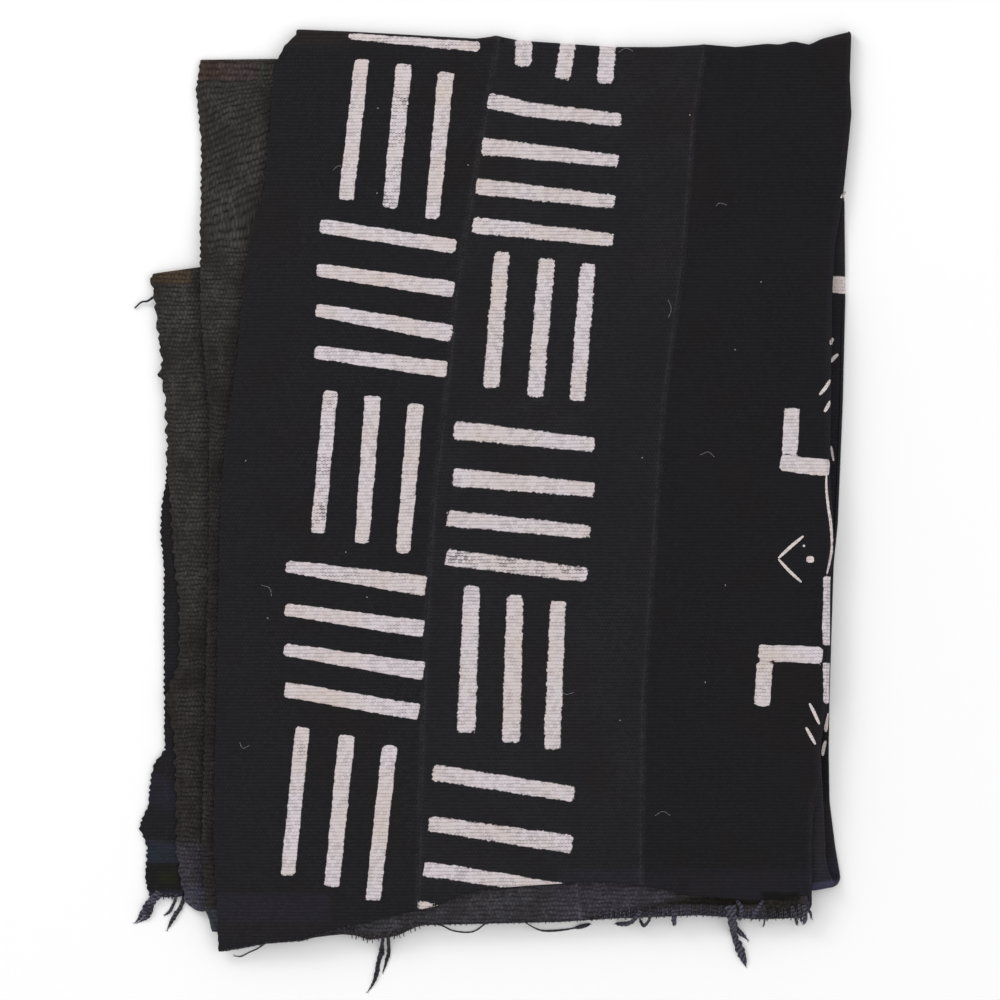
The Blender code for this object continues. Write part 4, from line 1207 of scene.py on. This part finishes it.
# %% The chart of the yarn ends, in pixels of the picture
LAVENDER, FADED, DARK = (1.75, 1.72, 2.05), (1.45, 1.4, 1.45), (0.85, 0.85, 0.88)
UPPER_STRANDS = (
    {"tint": DARK, "route": ((264, 945, 1.2), (256, 950, 1.3), (249, 953, 1.2), (241, 957, 1.4),
                             (236, 957, 0.8))},
    {"tint": DARK, "route": ((384, 934, 3.6), (382, 945, 4), (381.5, 953, 6), (378.5, 962, 4.6),
                             (376.5, 974, 5),
                             (373, 984, 3), (368, 992, 0.8))},
    {"tint": DARK, "route": ((388, 934, 4), (388.7, 952, 4), (386.5, 961, 3.6), (383.2, 972, 1.4))},
    {"tint": DARK, "route": ((425, 923, 1.5), (441, 926, 1.4), (452, 931, 1.4), (466, 933, 1.5),
                             (476, 931, 1.4),
                             (488, 922, 1.4))},
    {"tint": FADED, "route": ((525, 922, 1.6), (538, 930, 1.7), (550, 931.6, 2.4), (562.5, 930.6, 2.2),
                              (574, 928.8, 1.8),
                              (578, 928, 4), (584, 926.5, 4.4), (589, 925, 3))},
    {"tint": LAVENDER, "route": ((641, 911, 4), (637, 916, 4.4), (631.5, 922, 4.6), (624.5, 924.5, 5),
                                 (617, 924.5, 3.6))},
    {"tint": FADED, "route": ((651, 912, 3.2), (648.5, 921, 3.2), (643.8, 926, 3.6), (640.5, 921.5, 3))},
    {"tint": LAVENDER, "route": ((674, 910, 4.5), (674, 918, 5.6), (674.5, 924.5, 4))},
    {"tint": LAVENDER, "route": ((731, 906, 11), (732.5, 922, 9.5), (735, 937, 6.6), (740, 949, 9.5),
                                 (744, 960, 6.5),
                                 (745.9, 966, 2))},
    {"tint": LAVENDER, "route": ((733, 918, 5), (737, 929, 5), (742, 934.5, 5), (747.5, 939.8, 1.2))},
    {"tint": LAVENDER, "route": ((737, 900, 3.5), (741, 908, 5), (740, 919, 4))},
    {"tint": LAVENDER, "route": ((763, 900, 3.5), (757, 909, 4.6), (752, 919, 3.4))},
    {"tint": FADED, "route": ((765, 915, 2.6), (764, 925, 1.8))},
    {"tint": FADED, "route": ((792, 906, 3.6), (795, 915, 4), (797, 924, 3))},
    {"tint": FADED, "route": ((799, 904, 3), (800, 914, 3.4), (801.5, 921, 2.6))},
    {"tint": LAVENDER, "route": ((804, 905, 4.5), (805, 915, 6), (804.5, 923, 3.6))},
    {"tint": FADED, "route": ((806, 908, 3), (810, 912, 3.2), (811.5, 918, 1.8))},
)
CORE_STRANDS = (
    {"tint": LAVENDER, "route": ((159, 893, 8), (151, 902, 9), (147, 909, 10), (144, 913, 8))},
    {"tint": LAVENDER, "route": ((148, 906, 6), (142, 914, 5.5), (138, 920, 3), (135, 923, 0.8))},
    {"tint": LAVENDER, "route": ((151, 905, 6), (149.5, 912, 6), (146.5, 917.5, 5), (141, 921.5, 2),
                                 (138, 923, 0.7))},
    {"tint": FADED, "route": ((177, 895, 3), (173, 905, 3.3), (170, 911, 3.3), (166, 914.8, 2.6))},
    {"tint": FADED, "route": ((184, 894, 3.6), (181, 906, 4.4), (174, 917, 5), (169.5, 925, 3.2),
                              (167, 930, 0.7))},
)
PLIES = 3
PLY_OUT = 0.36  # of the yarn's radius, from its middle to the middle of a ply
PLY_THICK = 0.64  # of the yarn's radius
PLY_FROM = 2.6  # px, a yarn as wide as this shows its plies
PLY_TURN = 3.2  # one turn of the plies, in widths of the yarn
FLATNESS = 0.62  # a loose yarn lies flat: its height as a share of its width


def yarn_route(strand, layer):
    """The middle of a yarn in mm, from the weave down to the floor and level on it, and half its width."""
    table = np.array([(*from_picture(px, py), width * MM_PER_PIXEL / 2) for px, py, width in strand["route"]])
    path = smooth_route(table, 14)
    radii = np.clip(path[:, 2], 0.2, None)
    radii = radii * (1 + 0.1 * np.sin(np.arange(len(radii)) * 0.9 + path[0, 0]))
    flat = path[:, :2]
    gone = travelled(flat)
    covering = np.array([top_height(x, y) for x, y in flat])
    edge = gone[np.flatnonzero(covering > 0.3)[-1]] if (covering > 0.3).any() else 0.0
    fallen = np.clip((gone - edge) / max(3.0, covering.max()), 0, 1)
    low = FLATNESS * radii + 0.1
    last = covering[covering > 0.3][-1] if (covering > 0.3).any() else 0.0
    on_cloth = np.where(gone <= edge, covering, last) + 0.35 * radii
    z = on_cloth * (1 - ease(1 - fallen, 1.0)) + low * ease(1 - fallen, 1.0)
    return np.column_stack([flat, np.maximum(z, low)]), radii


def plied(path, radii, tint):
    """Tubes for the plies of a yarn."""
    if radii.max() * 2 / MM_PER_PIXEL < PLY_FROM:
        return [(path, radii, tint, FLATNESS)]
    gone = travelled(path)
    across, upwards = side_and_up(path)
    tubes = []
    for ply in range(PLIES):
        turn = 2 * math.pi * (gone / (PLY_TURN * 2 * np.median(radii)) + ply / PLIES)
        around = across * np.cos(turn)[:, None] + FLATNESS * upwards * np.sin(turn)[:, None]
        offset = PLY_OUT * radii[:, None] * around
        lean = 1 + 0.06 * math.sin(2.1 * ply + path[0, 0])
        ply_radii = PLY_THICK * radii * (1 + 0.12 * np.sin(gone * 1.9 + 2 * ply))
        ply_path = path + offset
        ply_path[:, 2] = np.maximum(ply_path[:, 2], ply_radii * FLATNESS + 0.03)
        tubes.append((ply_path, ply_radii, tuple(lean * share for share in tint), FLATNESS))
    return tubes


def tip_fibres(path, radii, tint, seed):
    """Short fine fibres that fan out from the end of a yarn."""
    tip, back = path[-1], path[-6]
    heading = math.atan2(tip[1] - back[1], tip[0] - back[0])
    tubes = []
    for k in range(3):
        angle = heading + 0.5 * math.sin(seed * 2.1 + 2.4 * k)
        long = 0.9 + 1.2 * math.cos(seed + 1.7 * k) ** 2
        ends = [back[:2], tip[:2], tip[:2] + long * np.array([math.cos(angle), math.sin(angle)])]
        route = smooth_route(ends, 4)
        z = np.maximum(np.linspace(back[2], 0.25, len(route)), 0.2)
        thin = np.linspace(max(0.12, radii[-1] * 0.6), 0.1, len(route))
        tubes.append((np.column_stack([route, z]), thin, tint))
    return tubes


print(len(UPPER_STRANDS) + len(CORE_STRANDS), "loose yarns")

# %% [markdown]
# Between the long yarns the cut end is a fringe of warp stubs, one beside the other. They start on the
# weave, a few millimetres inside the end, so that the last wefts are hidden as they are on the real cloth.

# %% The frayed ends
FRINGES = (
    {"layer": ("upper", "front"), "end": "from", "px": (223, 350), "inside": 0.7, "past": (0.1, 0.9),
     "tint": FADED},
    {"layer": ("upper", "back"), "end": "from", "px": (352, 424), "inside": 4.0, "past": (0.4, 2.6),
     "tint": (1.3, 1.1, 1.0)},
    {"layer": ("upper", "back"), "end": "from", "px": (424, 600), "inside": 0.8, "past": (0.1, 1.1),
     "tint": DARK},
    {"layer": ("upper", "back"), "end": "from", "px": (600, 806), "inside": 6.0, "past": (0.1, 1.6),
     "tint": LAVENDER},
    {"layer": ("core", "back"), "end": "to", "px": (154, 177), "inside": 2.0, "past": (0.2, 1.6),
     "tint": FADED},
)
STUB_PITCH = 1.35


def fringe(row, seed):
    """Short cut warp threads along an end of the cloth."""
    tubes = []
    first, last = (from_picture(px, 0)[0] for px in row["px"])
    least, most = row["past"]
    for number, x in enumerate(np.arange(first, last, STUB_PITCH)):
        uneven = math.sin(number * 2.7 + 1.3 * math.sin(number * 0.9) + seed)
        y = float(along(line_of(*row["layer"], row["end"]), x))
        past = least + (most - least) * (0.5 + 0.5 * uneven) ** 1.6
        inside = row["inside"] * (0.8 + 0.3 * math.sin(number * 1.37 + seed))
        lean = 0.9 * math.sin(number * 1.9) * math.sin(number * 0.7)
        ys = np.array([y + inside, y + inside * 0.55, y + 0.3, y - past * 0.6, y - past])
        xs = x + lean * np.array([-0.6, -0.2, 0.0, 0.5, 1.0])
        top = [top_height(px, max(py, y + 0.2)) + 0.05 for px, py in zip(xs, ys)]
        z = np.array([top[0] - 0.25, top[1] + 0.1, top[2], max(0.65, 0.62 * top[3]), max(0.5, 0.3 * top[4])])
        fast, slow = math.sin(number * 3.3 + seed), math.sin(number * 0.23)
        shade = 0.5 + 0.8 * (0.5 + 0.5 * fast) * (0.6 + 0.4 * slow)
        route = smooth_route(np.column_stack([xs, ys, z]), 2)
        radii = np.linspace(0.5, 0.22, len(route)) * (1 + 0.3 * math.sin(number * 4.1))
        tubes.append((route, radii, tuple(shade * share for share in row["tint"])))
    return tubes


FRAYED = (
    {"name": "yarn_ends_outer", "node": "frayed_end_upper", "strands": UPPER_STRANDS, "layer": ("upper",
                                                                                                "back")},
    {"name": "yarn_ends_inner", "node": "frayed_end_core", "strands": CORE_STRANDS, "layer": ("core",
                                                                                              "back")},
)
for row in FRAYED:
    tubes = []
    for number, strand in enumerate(row["strands"]):
        path, radii = yarn_route(strand, row["layer"])
        tubes += plied(path, radii, strand["tint"])
        tubes += tip_fibres(path, radii, strand["tint"], number)
    for number, part in enumerate(FRINGES):
        if part["layer"][0] == row["layer"][0]:
            tubes += fringe(part, number)
    piece = tube_piece(row["name"], tubes, black_yarn)
    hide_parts(row["node"])
    print(row["name"], len(tubes), "tubes,", len(piece.data.polygons), "faces")

# %% [markdown]
# ## Seams
# The strips are joined selvedge to selvedge with small slanting stitches of black thread, pulled tight.
# Only the thread's short bridges over the ridge show, about one every 5 mm.

# %% Stitches over the seams
STITCH_PITCH = 5.0
STITCH_REACH = 1.25
THREAD_RADIUS = 0.22


def seam_stitches(strip, run_number, side_up):
    """Bridges of thread along the far selvedge of a strip, in one run."""
    data = surfaces[strip]
    rows = np.flatnonzero(data["runs"] == run_number)
    edge = data["face"][rows, -1]
    inner = data["face"][rows, -6]
    gone = np.concatenate([[0], np.cumsum(np.abs(np.diff(edge[:, 1])))])
    tubes = []
    for number, at in enumerate(np.arange(3.0, gone[-1] - 3.0, STITCH_PITCH)):
        at += 0.7 * math.sin(number * 1.7)
        x = float(np.interp(at, gone, edge[:, 0])) + SEAM_GAP / 2
        y = float(np.interp(at, gone, edge[:, 1]))
        z = float(np.interp(at, gone, inner[:, 2])) * float(swell(np.array([x]), np.array([y]))[0])
        slant = 0.55 + 0.3 * math.sin(number * 2.3)
        steps = np.linspace(-1, 1, 5)
        arch = RIDGE + 0.12 - 0.4 * steps**2
        path = np.column_stack([x + steps * STITCH_REACH, y - slant * steps, z + side_up * arch])
        tubes.append((path, np.full(5, THREAD_RADIUS)))
    return tubes


sewing_thread = yarn_material("twisted_cotton_sewing_thread", "#161517", "#2c2b2e")
for strip in (1, 2):
    stitches = seam_stitches(strip, 0, 1.0) + seam_stitches(strip, 1, -1.0)
    piece = tube_piece(f"seam_stitches_{strip}_{strip + 1}", stitches, sewing_thread, sides=5)
    print(piece.name, len(stitches), "stitches")

# %% [markdown]
# ## Lint and loose fibres
# Black cotton shows every speck. A few pale specks and fine hairs lie on the top layer, and one weft tail
# hangs from the left selvedge.

# %% Specks, hairs and the loose tail
SPECKS = ((378, 108), (377, 193), (468, 165), (642, 458), (705, 682), (761, 282), (346, 552), (367, 597),
          (246, 461),
          (690, 115), (620, 720), (725, 585), (268, 618), (505, 560), (735, 350))
HAIRS = (
    ((333, 170), (338, 166), (346, 167)), ((619, 52), (626, 48), (633, 51)), ((716, 206), (720, 203),
                                                                              (727, 205)),
    ((240, 742), (243, 748), (250, 745)), ((668, 300), (671, 309), (668, 318)), ((700, 455), (708, 452),
                                                                                 (714, 457)),
    ((560, 690), (566, 694), (574, 692)), ((262, 585), (270, 588), (272, 596)), ((655, 815), (663, 811),
                                                                                 (670, 815)),
)
TAIL = ((153, 297), (147, 301), (141, 302), (134, 308))

pale_lint = yarn_material("pale_cotton_lint", "#77737a", "#b9b4b6")
lint = []
for number, (px, py) in enumerate(SPECKS):
    x, y = from_picture(px, py)
    z = top_height(x, y) + 0.15
    turn = number * 1.3
    ahead = np.array([math.cos(turn), math.sin(turn)]) * 0.55
    path = np.array([(x - ahead[0], y - ahead[1], z), (x, y, z + 0.1), (x + ahead[0], y + ahead[1], z)])
    lint.append((path, np.array([0.12, 0.36, 0.12])))
for hair in HAIRS:
    route = smooth_route([from_picture(*point) for point in hair], 5)
    z = [top_height(*point) + 0.12 for point in route]
    lint.append((np.column_stack([route, z]), np.full(len(route), 0.1)))
lint_piece = tube_piece("lint_on_top", lint, pale_lint, sides=5)
tail_route = smooth_route([from_picture(*point) for point in TAIL], 5)
tail_z = np.linspace(float(height(("middle", "back"), *tail_route[0])), 1.0, len(tail_route))
tail_path = np.column_stack([tail_route, tail_z])
tail_radii = np.linspace(0.8, 0.45, len(tail_route))
tail = tube_piece("weft_tail", [(tail_path, tail_radii)], black_yarn)
print(len(lint), "specks and hairs")
